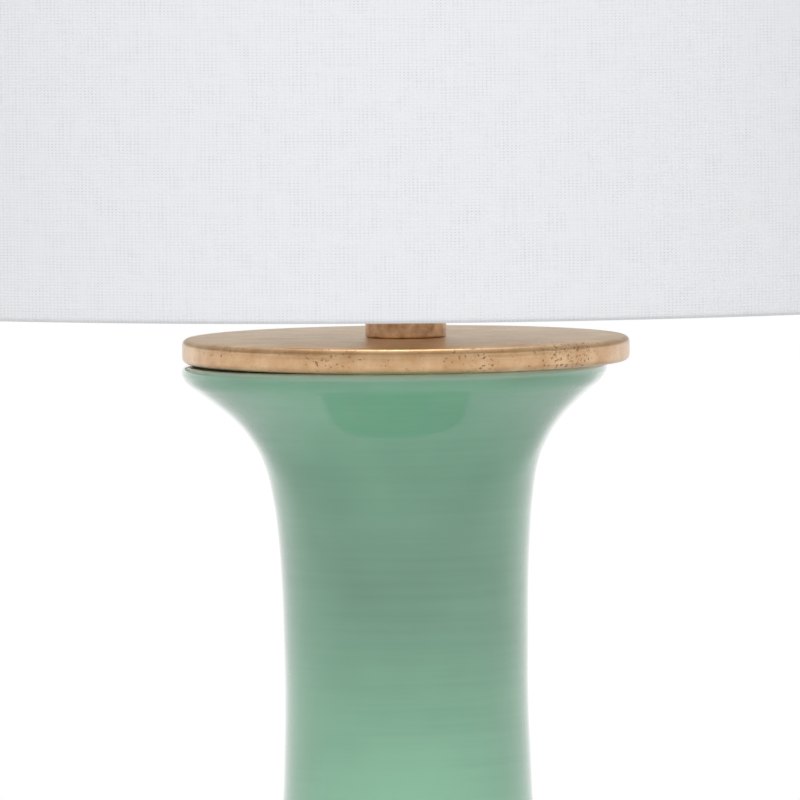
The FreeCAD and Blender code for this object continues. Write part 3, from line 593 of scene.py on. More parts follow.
def turn_up(corners: Sequence[Corner], closed: bool = True, steps: int = 96) -> Shape:
    """Turns a piece on the Z axis; its outline is closed where it doesn't end on the axis."""
    return spin_outline(draw_outline(corners, closed), steps)


def lay_along_y(shape: Shape, height: float, outward: float) -> Shape:
    """Lays a turned piece down so that its axis runs along Y.

    Args:
        shape: A piece turned on the Z axis; its heights become distances along Y.
        height: Height of the laid axis.
        outward: 1 for a piece that points to the back, and -1 to the front.

    Returns:
        The same shape, laid down.
    """
    turn = Matrix.Rotation(-outward * math.pi / 2.0, 4, "X")
    bmesh.ops.transform(shape, matrix=Matrix.Translation((0.0, 0.0, height)) @ turn, verts=shape.verts)
    return shape


def evaluate(holder: bpy.types.Object) -> Shape:
    """Reads a new object as it is drawn, modifiers and all, and removes it.

    Args:
        holder: The object, which is used up.

    Returns:
        Its shape.
    """
    bpy.context.scene.collection.objects.link(holder)
    bpy.context.view_layer.update()
    drawn = bpy.data.meshes.new_from_object(holder.evaluated_get(bpy.context.evaluated_depsgraph_get()))
    shape = bmesh.new()
    shape.from_mesh(drawn)
    bpy.data.batch_remove([holder, holder.data, drawn])
    return shape


def follow_curve(points: Sequence[Point], steps: int = 10) -> list[Point]:
    """Reads points along the smooth curve through a few stations.

    Args:
        points: Radius and height of each station.
        steps: Points between two stations.

    Returns:
        Radius and height of points along the curve, the stations among them.
    """
    curve = bpy.data.curves.new("outline", "CURVE")
    curve.dimensions, curve.resolution_u = "3D", steps
    line = curve.splines.new("BEZIER")
    line.bezier_points.add(len(points) - 1)
    for station, (radius, height) in zip(line.bezier_points, points):
        station.co = (radius, 0.0, height)
        station.handle_left_type = station.handle_right_type = "AUTO"
    drawn = evaluate(bpy.data.objects.new("outline", curve))
    found = [(vertex.co.x, vertex.co.z) for vertex in drawn.verts]
    drawn.free()
    return found


def cylinder(radius: float, start: Triple, end: Triple) -> Shape:
    """Makes a closed round bar between two points.

    Args:
        radius: Radius of the bar.
        start: Centre of one end.
        end: Centre of the other end.

    Returns:
        The bar's shape.
    """
    shape = bmesh.new()
    run = Vector(end) - Vector(start)
    middle = (Vector(start) + Vector(end)) / 2.0
    place = Matrix.Translation(middle) @ run.to_track_quat("Z", "Y").to_matrix().to_4x4()
    bmesh.ops.create_cone(shape, cap_ends=True, segments=BAR_STEPS, radius1=radius, radius2=radius,
                          depth=run.length, matrix=place)
    return shape


def block(low: Triple, high: Triple) -> Shape:
    """Makes a box between two corners.

    Args:
        low: Lowest corner.
        high: Highest corner.

    Returns:
        The box.
    """
    shape = bmesh.new()
    size = Vector(high) - Vector(low)
    place = Matrix.Translation((Vector(low) + Vector(high)) / 2.0) @ Matrix.Diagonal((*size, 1.0))
    bmesh.ops.create_cube(shape, size=1.0, matrix=place)
    return shape


def join(shapes: Iterable[Shape]) -> Shape:
    """Puts several shapes in one mesh.

    Args:
        shapes: Shapes, which are used up.

    Returns:
        One mesh with them all.
    """
    whole = bmesh.new()
    for shape in shapes:
        carrier = bpy.data.meshes.new("carrier")
        shape.to_mesh(carrier)
        shape.free()
        whole.from_mesh(carrier)
        bpy.data.meshes.remove(carrier)
    return whole


def cut_away(shape: Shape, cutters: Iterable[Shape]) -> Shape:
    """Cuts closed shapes out of another with an exact Boolean.

    Args:
        shape: The piece that is cut.
        cutters: Closed shapes, which are used up.

    Returns:
        What is left of the piece.
    """
    for cutter in cutters:
        holders = []
        for part in (shape, cutter):
            bmesh.ops.recalc_face_normals(part, faces=part.faces)
            mesh = bpy.data.meshes.new("cut")
            part.to_mesh(mesh)
            part.free()
            holders.append(bpy.data.objects.new("cut", mesh))
        piece, knife = holders
        bpy.context.scene.collection.objects.link(knife)
        boolean = piece.modifiers.new("cut", "BOOLEAN")
        boolean.operation, boolean.solver, boolean.object = "DIFFERENCE", "EXACT", knife
        shape = evaluate(piece)
        bpy.data.objects.remove(knife)
    return shape


def sweep(points: Sequence[Triple], roundings: Sequence[float], radius: float) -> Shape:
    """Makes a round wire along straight runs with rounded corners.

    Args:
        points: The runs' ends and corners.
        roundings: Radius of the bend at each corner between the ends.
        radius: Radius of the wire.

    Returns:
        A closed wire with flat ends.
    """
    corners = [Vector(point) for point in points]
    line = [corners[0]]
    for before, corner, after, bend in zip(corners, corners[1:], corners[2:], roundings):
        come, go = (corner - before).normalized(), (after - corner).normalized()
        reach = bend * math.tan(come.angle(go) / 2.0)
        hub = corner - come * reach + (go - come * come.dot(go)).normalized() * bend
        start, end = corner - come * reach - hub, corner + go * reach - hub
        line.extend(hub + start.slerp(end, step / BEND_STEPS) for step in range(BEND_STEPS + 1))
    line.append(corners[-1])
    curve = bpy.data.curves.new("wire", "CURVE")
    curve.dimensions, curve.bevel_depth, curve.bevel_resolution, curve.use_fill_caps = "3D", radius, 5, True
    spline = curve.splines.new("POLY")
    spline.points.add(len(line) - 1)
    for spot, place in zip(spline.points, line):
        spot.co = (*place, 1.0)
    shape = evaluate(bpy.data.objects.new("wire", curve))
    bmesh.ops.remove_doubles(shape, verts=shape.verts, dist=WELD)
    return shape


def set_piece(shape: Shape, name: str, node: str, body: Body, finish: Finish,
              crease: float = 32.0) -> bpy.types.Object:
    """Makes an object of a shape drawn in millimetres, and lets it stand for a CAD node.

    Args:
        shape: The piece's shape, which is used up.
        name: Name of the piece.
        node: CAD node that it stands for.
        body: Body that it rides on.
        finish: Its finish.
        crease: Angle in degrees past which an edge stays sharp.

    Returns:
        The new object.
    """
    bmesh.ops.remove_doubles(shape, verts=shape.verts, dist=WELD)
    bmesh.ops.recalc_face_normals(shape, faces=shape.faces)
    bmesh.ops.scale(shape, vec=(1.0 / METRE,) * 3, verts=shape.verts)
    mesh = bpy.data.meshes.new(name)
    shape.to_mesh(mesh)
    shape.free()
    mesh.shade_smooth()
    mesh.set_sharp_from_angle(angle=math.radians(crease))
    mesh.materials.append(finish.material())
    piece = bpy.data.objects.new(name, mesh)
    bpy.context.scene.collection.objects.link(piece)
    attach(piece, body.value)
    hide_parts(node)
    LOG.info("%s: %d faces, rides on %s", name, len(mesh.polygons), body.value)
    return piece


def dress(finishes: Mapping[str, Finish]) -> None:
    """Gives carried-over CAD nodes their finishes.

    Args:
        finishes: The finish of each node, by its name.
    """
    for node, finish in finishes.items():
        piece = frame["nodes"][node]
        if not piece.material_slots:
            piece.data.materials.append(finish.material())
        for holder in piece.material_slots:
            holder.material = finish.material()
        LOG.info("%s: kept, in %s", node, finish.title)


# -------------------------------------------------------------------------------------------------------------
# Sub-assemblies
# -------------------------------------------------------------------------------------------------------------

@dataclass
class Stand:
    """The plinth, its felt pad and cord inlet, and the pipe with its nut and washer."""

    felt_r: float = 78.5
    felt_top: float = 1.5
    felt_uneven: float = 0.0035
    plinth_r: float = 82.5
    plinth_top: float = 23.5
    edge: float = 2.2
    pocket_r: float = 30.0
    pocket_top: float = 15.5
    pipe_hole_r: float = 5.45
    inlet_z: float = 9.5
    inlet_hole_r: float = 5.05
    inlet_r: float = 5.0
    inlet_bore_r: float = 3.5
    inlet_length: float = 14.0
    flange_r: float = 7.0
    flange_thick: float = 2.0
    spot_y: float = 81.5
    spot_r: float = 7.5

    def plinth(self) -> None:
        """Builds the turned plinth with its pocket, its cord hole and the flat round the hole."""
        shape = turn_up([
            (self.pipe_hole_r, self.pocket_top, 0.0), (self.pocket_r, self.pocket_top, 1.0),
            (self.pocket_r, self.felt_top, 0.6), (self.plinth_r, self.felt_top, self.edge),
            (self.plinth_r, self.plinth_top, self.edge), (self.pipe_hole_r, self.plinth_top, 0.4)], steps=192)
        hole = cylinder(self.inlet_hole_r, (0.0, self.pocket_r - 8.0, self.inlet_z),
                        (0.0, self.plinth_r + 2.0, self.inlet_z))
        spot = cylinder(self.spot_r, (0.0, self.spot_y, self.inlet_z),
                        (0.0, self.plinth_r + 3.0, self.inlet_z))
        set_piece(cut_away(shape, [hole, spot]), "gilded_plinth", "plinth", Body.STAND, LEAF)

    def felt_pad(self) -> None:
        """Builds the felt disc, cut a little unevenly."""
        shape = turn_up([(0.0, 0.0, 0.0), (self.felt_r, 0.0, 0.35), (self.felt_r, self.felt_top, 0.35),
                         (0.0, self.felt_top, 0.0)], closed=False, steps=160)
        for vertex in shape.verts:
            if vertex.co.xy.length > self.felt_r - 1.0:
                vertex.co.xy *= 1.0 + self.felt_uneven * noise.noise(vertex.co * 0.4)
        felt = set_piece(shape, "felt_disc", "felt_pad", Body.STAND, FELT)

    def cord_inlet(self) -> None:
        """Builds the flanged bushing of the cord hole."""
        face = self.spot_y + self.flange_thick
        inner = face - self.inlet_length
        shape = turn_up([
            (self.inlet_bore_r, inner, 0.5), (self.inlet_r, inner, 0.4), (self.inlet_r, self.spot_y, 0.0),
            (self.flange_r, self.spot_y, 0.2), (self.flange_r, face, 0.9), (self.inlet_bore_r, face, 0.9)],
            steps=64)
        set_piece(lay_along_y(shape, self.inlet_z, 1.0), "cord_inlet", "cord_inlet_bushing", Body.STAND,
                  NYLON)

    def build(self) -> None:
        """Builds and dresses the stand."""
        self.plinth()
        self.felt_pad()
        self.cord_inlet()
        dress({"plinth_washer": ZINC, "plinth_nut": ZINC, "lamp_pipe": BRASS})


@dataclass
class Vase:
    """The glazed vase with its trumpet mouth, long neck, round shoulders and foot, and the gasket on its lip.

    The pot leans a little and its lip has sunk on the left in firing, which leaves a crevice there under
    the cap. Stations are radius and height down the outside, and lean is the axis's place in x and its
    height.
    """

    lip_z: float = 413.9
    foot_z: float = 23.5
    wall: float = 6.0
    mouth_r: float = 60.5
    lip_round: float = 1.6
    stations: tuple[Point, ...] = (
        (60.4, 411.4), (59.6, 409.8), (58.6, 408.5), (56.1, 406.4), (52.0, 403.0), (45.9, 397.3),
        (41.9, 391.7), (39.2, 386.0), (36.8, 374.6), (35.7, 363.3), (35.1, 352.0), (34.75, 335.0),
        (34.6, 318.0), (35.1, 301.0), (35.6, 289.0), (38.0, 261.0), (50.0, 227.0), (84.0, 195.0),
        (106.0, 149.0), (92.0, 83.0), (68.0, 23.5))
    lean: tuple[Point, ...] = (
        (-3.2, 414.0), (-3.5, 408.0), (-3.2, 403.0), (-2.5, 397.3), (-1.9, 390.0), (-1.2, 374.6),
        (-0.8, 352.0), (-0.6, 318.0), (-0.5, 290.0), (-0.8, 230.0), (-0.8, 23.5))
    sunk: float = 0.5
    sunk_x: Point = (-18.0, -60.0)
    sunk_z: Point = (402.0, 411.0)
    foot_round: float = 1.5
    foot_ring: float = 10.0
    recess: float = 5.0
    floor: float = 8.0
    hole_r: float = 7.75
    gasket_r: Point = (53.0, 57.5)
    gasket_z: Point = (413.92, 413.98)

    def inside(self, outer: Sequence[Point]) -> list[Point]:
        """Moves the outside in by the wall.

        Args:
            outer: Points of the outside, downwards.

        Returns:
            Points of the inside, upwards, between the floor and the mouth.
        """
        inner = []
        for before, here, after in zip(outer, outer[1:], outer[2:]):
            along = Vector((after[0] - before[0], after[1] - before[1])).normalized()
            inner.append((here[0] + along.y * self.wall, here[1] - along.x * self.wall))
        floor_z = self.foot_z + self.recess + self.floor
        kept = [point for point in inner if floor_z + 2.0 < point[1] < self.lip_z - 5.0]
        return kept[::-2]

    def fire(self, shape: Shape) -> Shape:
        """Gives a turned shape the pot's lean and the lip's sunken side.

        Args:
            shape: The pot, or a ring on its lip.

        Returns:
            The same shape, moved.
        """
        axis = sorted((height, x) for x, height in follow_curve(self.lean, 12))
        heights = [height for height, _ in axis]
        for vertex in shape.verts:
            if vertex.co.xy.length < self.hole_r + 0.01:
                continue
            above = min(max(bisect(heights, vertex.co.z), 1), len(axis) - 1)
            (low_z, low_x), (high_z, high_x) = axis[above - 1], axis[above]
            share = min(1.0, max(0.0, (vertex.co.z - low_z) / (high_z - low_z)))
            vertex.co.x += low_x + share * (high_x - low_x)
            left, near_lip = [min(1.0, max(0.0, (value - start) / (end - start))) for value, (start, end) in
                              ((vertex.co.x, self.sunk_x), (vertex.co.z, self.sunk_z))]
            vertex.co.z -= self.sunk * left * left * (3.0 - 2.0 * left) * near_lip
        return shape

    def gasket(self) -> None:
        """Builds the gasket, which is flat under the cap and fills the crevice at the left."""
        # Where it fills the crevice at the left, the gasket's dark colour is painted shade.
        (inner_r, outer_r), (low, high) = self.gasket_r, self.gasket_z
        ring = turn_up([(inner_r, low, 0.0), (outer_r, low, 0.0), (outer_r, high, 0.0), (inner_r, high, 0.0)],
                       steps=160)
        top = [vertex for vertex in ring.verts if vertex.co.z > (low + high) / 2.0]
        self.fire(ring)
        for vertex in top:
            vertex.co.z = high
        set_piece(ring, "lip_gasket", "mouth_gasket", Body.STAND, CREVICE_SHADE_RUBBER)

    def build(self) -> None:
        """Builds the vase and its gasket."""
        outer = follow_curve(self.stations, 8)
        inner = self.inside(outer)
        under_z, floor_z = self.foot_z + self.recess, self.foot_z + self.recess + self.floor
        foot_r = outer[-1][0]
        recess_r = foot_r - self.foot_ring
        corners = [(inner[-1][0] + 3.0, self.lip_z, 1.2), (self.mouth_r, self.lip_z, self.lip_round)]
        corners += [(radius, height, 0.0) for radius, height in outer[:-1]]
        corners += [(foot_r, self.foot_z, self.foot_round), (recess_r, self.foot_z, 1.2),
                    (recess_r - 1.0, under_z, 1.2), (self.hole_r, under_z, 0.0), (self.hole_r, floor_z, 0.0),
                    (inner[0][0] - 2.0, floor_z, 1.5)]
        corners += [(radius, height, 0.0) for radius, height in inner]
        set_piece(self.fire(turn_up(corners, steps=224)), "glazed_vase", "vase", Body.STAND, GLAZE,
                  crease=50.0)
        self.gasket()


@dataclass
class CapAndCollar:
    """The gilded disc over the vase's mouth, with its step below, and the small gilded collar on it."""

    cap_r: float = 63.5
    cap_bottom: float = 414.0
    cap_top: float = 421.0
    cap_edge: float = 1.8
    step_r: float = 44.9
    step_bottom: float = 410.0
    pipe_hole_r: float = 5.45
    collar_r: float = 11.5
    collar_top: float = 435.0
    collar_edge: float = 0.9

    def build(self) -> None:
        """Builds the cap and the collar."""
        cap = turn_up([
            (self.pipe_hole_r, self.step_bottom, 0.3), (self.step_r, self.step_bottom, 0.8),
            (self.step_r, self.cap_bottom, 0.0), (self.cap_r, self.cap_bottom, self.cap_edge),
            (self.cap_r, self.cap_top, self.cap_edge), (self.pipe_hole_r, self.cap_top, 0.3)], steps=224)
        set_piece(cap, "gilded_cap", "cap_disc", Body.STAND, LEAF)
        collar = turn_up([
            (self.pipe_hole_r, self.cap_top, 0.0), (self.collar_r, self.cap_top, 0.5),
            (self.collar_r, self.collar_top, self.collar_edge), (self.pipe_hole_r, self.collar_top, 0.3)])
        set_piece(collar, "gilded_collar", "neck_collar", Body.STAND, COPPERY_LEAF_PAINTED_PALER)


@dataclass
class Socket:
    """The lamp socket's cap, shell and inner pieces."""

    bore_r: float = 5.2
    hub_r: float = 8.0
    cap_r: float = 17.0
    sheet: float = 0.8
    bottom: float = 436.5
    hub_top: float = 443.5
    skirt_top: float = 457.5
    roll: float = 0.45
    shell_r: float = 16.7
    shell_neck_r: float = 16.15
    shell_bottom: float = 450.5
    shell_top: float = 500.0
    bead_z: float = 485.0
    bead: float = 0.5
    switch_z: float = 462.3
    slot_half: float = 4.3
    slot_y: float = -30.0

    def cap(self) -> None:
        """Builds the spun cap with its threaded hub and a rolled edge."""
        inner_r, roll_r = self.cap_r - self.sheet, self.cap_r + self.roll
        shape = turn_up([
            (self.bore_r, self.bottom, 0.3), (self.hub_r, self.bottom, 0.5),
            (self.hub_r, self.hub_top - 0.9, 0.5), (self.cap_r, self.hub_top + 0.6, 5.0),
            (self.cap_r, self.skirt_top - 2.4, 0.3), (roll_r, self.skirt_top - 1.8, 0.3),
            (roll_r, self.skirt_top - 0.4, 0.3), (self.cap_r, self.skirt_top, 0.2),
            (inner_r, self.skirt_top, 0.1), (inner_r, self.hub_top + 1.5, 4.4),
            (self.hub_r - 0.5, self.hub_top, 0.3), (self.bore_r, self.hub_top, 0.1)])
        set_piece(shape, "socket_cap_brass", "socket_cap", Body.STAND, SPUN_BRASS)

    def shell(self) -> None:
        """Builds the drawn shell with its bead, its rolled top and the slot for the switch."""
        shoulder_z, bead_r = self.skirt_top + 0.55, self.shell_r + self.bead
        inner_r, inner_neck_r = self.shell_r - self.sheet, self.shell_neck_r - self.sheet
        shape = turn_up([
            (inner_neck_r, self.shell_bottom, 0.0), (self.shell_neck_r, self.shell_bottom, 0.2),
            (self.shell_neck_r, self.skirt_top, 0.2), (self.shell_r, shoulder_z, 0.3),
            (self.shell_r, self.bead_z - 1.0, 0.5), (bead_r, self.bead_z, 0.5),
            (self.shell_r, self.bead_z + 1.0, 0.5), (self.shell_r, self.shell_top - 3.2, 0.4),
            (bead_r, self.shell_top - 2.4, 0.4), (bead_r, self.shell_top - 0.6, 0.5),
            (self.shell_r, self.shell_top, 0.3), (inner_r, self.shell_top, 0.2), (inner_r, shoulder_z, 0.0),
            (inner_neck_r, self.skirt_top, 0.0)])
        slot = block((-self.slot_half, self.slot_y, self.shell_bottom - 5.0),
                     (self.slot_half, 0.0, self.switch_z))
        end = cylinder(self.slot_half, (0.0, 0.0, self.switch_z), (0.0, self.slot_y, self.switch_z))
        set_piece(cut_away(shape, [slot, end]), "socket_shell_brass", "socket_shell", Body.STAND, SPUN_BRASS)

    def build(self) -> None:
        """Builds and dresses the socket."""
        self.cap()
        self.shell()
        dress({"socket_set_screw": ZINC, "socket_liner": FIBRE_BOARD, "socket_body": PHENOLIC,
               "socket_screw_shell": ALUMINIUM, "centre_contact": BRASS, "hot_terminal_screw": BRASS,
               "neutral_terminal_screw": NICKEL, "switch_bushing": BRASS})


@dataclass
class Switch:
    """The turn switch's shaft and its fluted knob."""

    axis_z: float = 462.3
    knob_start: float = 20.0
    knob_length: float = 18.0
    knob_r: float = 6.5
    tip_r: float = 5.6
    bore_r: float = 1.85
    bore_end: float = 36.0
    flutes: int = 12
    flute_depth: float = 0.55
    flute_round: float = 0.7
    long_edge: float = 8.0

    def build(self) -> None:
        """Builds the knob and dresses the shaft."""
        end = self.knob_start + self.knob_length
        shape = turn_up([
            (0.0, self.bore_end, 0.0), (self.bore_r, self.bore_end, 0.0), (self.bore_r, self.knob_start, 0.3),
            (self.knob_r, self.knob_start, 0.6), (self.tip_r + 0.05, end - 1.0, 0.3),
            (self.tip_r - 0.5, end, 0.6), (2.4, end, 0.3), (2.0, end - 0.4, 0.3), (0.0, end - 0.4, 0.0)],
            closed=False, steps=144)
        long_edges = [edge for edge in shape.edges if edge.calc_length() > self.long_edge]
        bmesh.ops.subdivide_edges(shape, edges=long_edges, cuts=6, use_grid_fill=True)
        flank = [vertex for vertex in shape.verts if vertex.co.xy.length > self.tip_r - 0.45
                 and self.knob_start + 1.2 < vertex.co.z < end - 0.7]
        for vertex in flank:
            angle = math.atan2(vertex.co.y, vertex.co.x)
            dip = max(0.0, math.cos(self.flutes * angle)) ** self.flute_round
            vertex.co.xy *= 1.0 - self.flute_depth * dip / vertex.co.xy.length
        set_piece(lay_along_y(shape, self.axis_z, -1.0), "fluted_switch_knob", "switch_knob", Body.SWITCH,
                  PHENOLIC, crease=40.0)
        dress({"switch_shaft": BRASS})


@dataclass
class Harp:
    """The harp's saddle, bow, ferrules and swivelling seat."""

    foot_x: float = 36.0
    ferrule_bottom: float = 449.5
    ferrule_shoulder: float = 461.8
    ferrule_top: float = 465.5
    ferrule_bore_r: float = 3.3
    ferrule_r: float = 4.25
    neck_bore_r: float = 2.2
    neck_r: float = 3.15
    rivet_bottom: float = 688.8
    rivet_top: float = 690.0
    rivet_r: float = 4.8
    pin_r: float = 3.175
    flange_bottom: float = 693.2
    flange_top: float = 695.7
    flange_r: float = 9.5
    stud_top: float = 710.6

    def ferrule(self, side: float, node: str, body: Body) -> None:
        """Builds one ferrule, a thimble with a rounded shoulder.

        Args:
            side: 1 on the right and -1 on the left.
            node: CAD node that it stands for.
            body: Body that it rides on.
        """
        shape = turn_up([
            (self.ferrule_bore_r, self.ferrule_bottom, 0.15), (self.ferrule_r, self.ferrule_bottom, 0.3),
            (self.ferrule_r, self.ferrule_shoulder - 2.0, 1.2), (self.neck_r, self.ferrule_top, 0.4),
            (self.neck_bore_r, self.ferrule_top, 0.2), (self.neck_bore_r, self.ferrule_shoulder, 0.0),
            (self.ferrule_bore_r, self.ferrule_shoulder, 0.3)], steps=48)
        bmesh.ops.translate(shape, vec=(side * self.foot_x, 0.0, 0.0), verts=shape.verts)
        set_piece(shape, node + "_brass", node, body, BRASS)

    def seat(self) -> None:
        """Builds the seat: rivet head, pin, flange and a stud with a rounded tip."""
        shape = turn_up([
            (0.0, self.rivet_bottom, 0.0), (self.rivet_r, self.rivet_bottom, 0.7),
            (self.rivet_r, self.rivet_top, 0.2), (self.pin_r, self.rivet_top, 0.0),
            (self.pin_r, self.flange_bottom, 0.0), (self.flange_r, self.flange_bottom, 0.6),
            (self.flange_r, self.flange_top, 0.6), (self.pin_r, self.flange_top, 0.0),
            (self.pin_r, self.stud_top, 0.7), (0.0, self.stud_top, 0.0)], closed=False, steps=64)
        set_piece(shape, "harp_seat_brass", "harp_seat", Body.HARP_SEAT, BRASS)

    def build(self) -> None:
        """Builds and dresses the harp."""
        self.ferrule(1.0, "harp_ferrule_right", Body.FERRULE_RIGHT)
        self.ferrule(-1.0, "harp_ferrule_left", Body.FERRULE_LEFT)
        self.seat()
        dress({"harp_saddle": BRASS, "harp_bow": PLATED_WIRE})


@dataclass
class Bulb:
    """A frosted round bulb with a moulded housing and a screw cap."""

    housing_bottom: float = 500.3
    housing_neck: float = 506.3
    neck_r: float = 13.6
    flank: tuple[Point, ...] = ((16.5, 513.0), (21.2, 521.0))
    seam: float = 530.3
    seam_r: float = 27.5
    cheek: tuple[Point, ...] = ((28.7, 538.0), (29.75, 546.0))
    globe_z: float = 553.3
    globe_r: float = 30.0

    def housing(self) -> None:
        """Builds the housing, which widens upwards to a rounded rim."""
        stations = [(self.neck_r, self.housing_neck), *self.flank, (self.seam_r, self.seam - 0.6)]
        corners = [(0.0, self.housing_bottom, 0.0), (self.neck_r, self.housing_bottom, 0.4)]
        corners += [(radius, height, 0.0) for radius, height in follow_curve(stations, 8)]
        corners += [(self.seam_r - 0.6, self.seam, 0.0), (0.0, self.seam, 0.0)]
        set_piece(turn_up(corners, closed=False), "bulb_housing_white", "bulb_housing", Body.BULB,
                  POLYCARBONATE)

    def diffuser(self) -> None:
        """Builds the frosted globe."""
        stations = [(self.seam_r, self.seam + 0.4), *self.cheek]
        turns = [math.radians(degrees) for degrees in range(0, 91, 15)]
        stations += [(self.globe_r * math.cos(a), self.globe_z + self.globe_r * math.sin(a)) for a in turns]
        corners = [(0.0, self.seam, 0.0), (self.seam_r - 0.5, self.seam, 0.0)]
        corners += [(max(0.0, radius), height, 0.0) for radius, height in follow_curve(stations, 5)]
        set_piece(turn_up(corners, closed=False), "bulb_globe_frosted", "bulb_diffuser", Body.BULB,
                  FROSTED_GLOBE)

    def build(self) -> None:
        """Builds and dresses the bulb."""
        self.housing()
        self.diffuser()
        dress({"bulb_tip": SOLDER, "bulb_insulator": PHENOLIC, "bulb_screw_shell": ALUMINIUM})


@dataclass
class Shade:
    """The linen drum with its turned hems, its liner, its two rings and the spider that carries them.

    The sheets have one column for each degree, and their ends lap by a few columns at seam_angle.
    """

    drum_r: float = 215.9
    bottom: float = 436.0
    top: float = 715.4
    cloth: float = 0.8
    cloth_uneven: float = 0.3
    hem_r: float = 210.4
    hem_heights: Point = (6.0, 3.5)
    fold: float = 1.5
    fold_turns: tuple[float, ...] = (0.4, 0.8, 1.2, math.pi / 2)
    row_shares: tuple[float, ...] = (
        0.02, 0.05, 0.1, 0.18, 0.26, 0.34, 0.42, 0.5, 0.58, 0.66, 0.74, 0.82, 0.9, 0.95, 0.98)
    liner_r: float = 215.05
    liner_sheet: float = 0.45
    ring_r: float = 213.0
    wire_r: float = 1.6
    ring_low: float = 438.6
    ring_high: float = 712.8
    seam_angle: float = 150.5
    lap: int = 3
    arm_angles: tuple[float, ...] = (90.0, 210.0, 330.0)
    hub_z: float = 696.8
    hub_r: float = 11.6
    hub_thick: float = 1.6
    hub_hole_r: float = 3.525
    arm_start: float = 10.1
    arm_flat: float = 14.0
    arm_ramp: float = 18.0
    arm_rise: float = 16.0
    arm_bend: float = 8.0
    arm_end: float = 211.35

    def wrap(self, rows: Sequence[Point], lap_step: float) -> Shape:
        """Rolls a flat sheet round the drum and laps its ends. The drum's outside is a little uneven.

        Args:
            rows: Radius and height of each row, from the bottom up, along the sheet.
            lap_step: How far the upper end of the lap stands off the lower one, outwards if positive.

        Returns:
            The sheet, open and without thickness, with its flat place as UV in metres.
        """
        reach = [0.0]
        for before, here in zip(rows, rows[1:]):
            reach.append(reach[-1] + math.dist(before, here))
        columns, last = 360 + self.lap, len(rows) - 1
        column_width = TURN * self.drum_r / 360.0
        shape = bmesh.new()
        bmesh.ops.create_grid(shape, x_segments=columns, y_segments=last, size=1.0, calc_uvs=False)
        flat = shape.loops.layers.uv.new("flat cloth")
        places = {vertex: (round((vertex.co.x + 1.0) / 2.0 * columns), round((vertex.co.y + 1.0) / 2.0 * last))
                  for vertex in shape.verts}
        for face in shape.faces:
            for corner in face.loops:
                column, row = places[corner.vert]
                corner[flat].uv = (column * column_width / METRE, reach[row] / METRE)
        for vertex, (column, row) in places.items():
            radius, height = rows[row]
            before, after = rows[max(0, row - 1)], rows[min(last, row + 1)]
            along = Vector((after[0] - before[0], after[1] - before[1])).normalized()
            lift = lap_step * min(1.0, max(0.0, (column - 360 + self.lap) / self.lap))
            radius += along.y * lift
            height -= along.x * lift
            angle = math.radians(self.seam_angle + column)
            if radius > self.drum_r - 0.5:
                spot = Vector((3.0 * math.cos(angle), 3.0 * math.sin(angle), height / 90.0))
                radius += self.cloth_uneven * noise.noise(spot)
            vertex.co = (radius * math.cos(angle), radius * math.sin(angle), height)
        return shape

    def cloth_rows(self) -> list[Point]:
        """Lists the rows of the linen: up the outside, with a hem folded in at both ends.

        Returns:
            Radius and height of each row, from the bottom hem's edge to the top hem's.
        """
        hem = [(self.hem_r, self.bottom + height) for height in (*self.hem_heights, self.fold)]
        hem += [(self.hem_r + self.fold * (1 - math.cos(a)), self.bottom + self.fold * (1 - math.sin(a)))
                for a in self.fold_turns]
        hem += [(self.drum_r - self.fold * (1 - math.sin(a)), self.bottom + self.fold * (1 - math.cos(a)))
                for a in (0.0, *self.fold_turns)]
        run = [(self.drum_r, self.bottom + share * (self.top - self.bottom)) for share in self.row_shares]
        return hem + run + [(radius, self.bottom + self.top - height) for radius, height in hem[::-1]]

    def fabric(self) -> None:
        """Builds the linen, notched where the spider's arms pass."""
        rows = self.cloth_rows()
        shape = self.wrap(rows, self.cloth + 0.05)
        notched = []
        for face in shape.faces:
            spot = face.calc_center_median()
            if spot.xy.length < self.hem_r + 0.4 and spot.z > self.top - self.hem_heights[0] - 1.0:
                angle = math.degrees(math.atan2(spot.y, spot.x)) % 360.0
                if any(abs(angle - arm) < 0.5 for arm in self.arm_angles):
                    notched.append(face)
        bmesh.ops.delete(shape, geom=notched, context="FACES")
        cloth = set_piece(shape, "linen_drum", "shade_fabric", Body.SHADE, LINEN, crease=80.0)
        wall = cloth.modifiers.new("cloth", "SOLIDIFY")
        wall.thickness, wall.offset, wall.use_even_offset = self.cloth / METRE, -1.0, True

    def liner(self) -> None:
        """Builds the styrene sheet inside the linen."""
        low, high = self.bottom + 1.0, self.top - 1.0
        rows = [(self.liner_r, low + share * (high - low)) for share in (0.0, 0.25, 0.5, 0.75, 1.0)]
        liner = set_piece(self.wrap(rows, -self.liner_sheet), "styrene_liner", "shade_liner", Body.SHADE,
                          STYRENE, crease=60.0)
        wall = liner.modifiers.new("sheet", "SOLIDIFY")
        wall.thickness, wall.offset = self.liner_sheet / METRE, -1.0

    def ring(self, height: float, name: str, node: str) -> None:
        """Builds one wire ring.

        Args:
            height: Height of the wire's centre.
            name: Name of the piece.
            node: CAD node that it stands for.
        """
        shape = bmesh.new()
        place = Matrix.Translation((self.ring_r, 0.0, height)) @ Matrix.Rotation(math.pi / 2.0, 4, "X")
        bmesh.ops.create_circle(shape, cap_ends=False, segments=12, radius=self.wire_r, matrix=place)
        set_piece(spin_outline(shape, 240), name, node, Body.SHADE, PLATED_WIRE, crease=60.0)

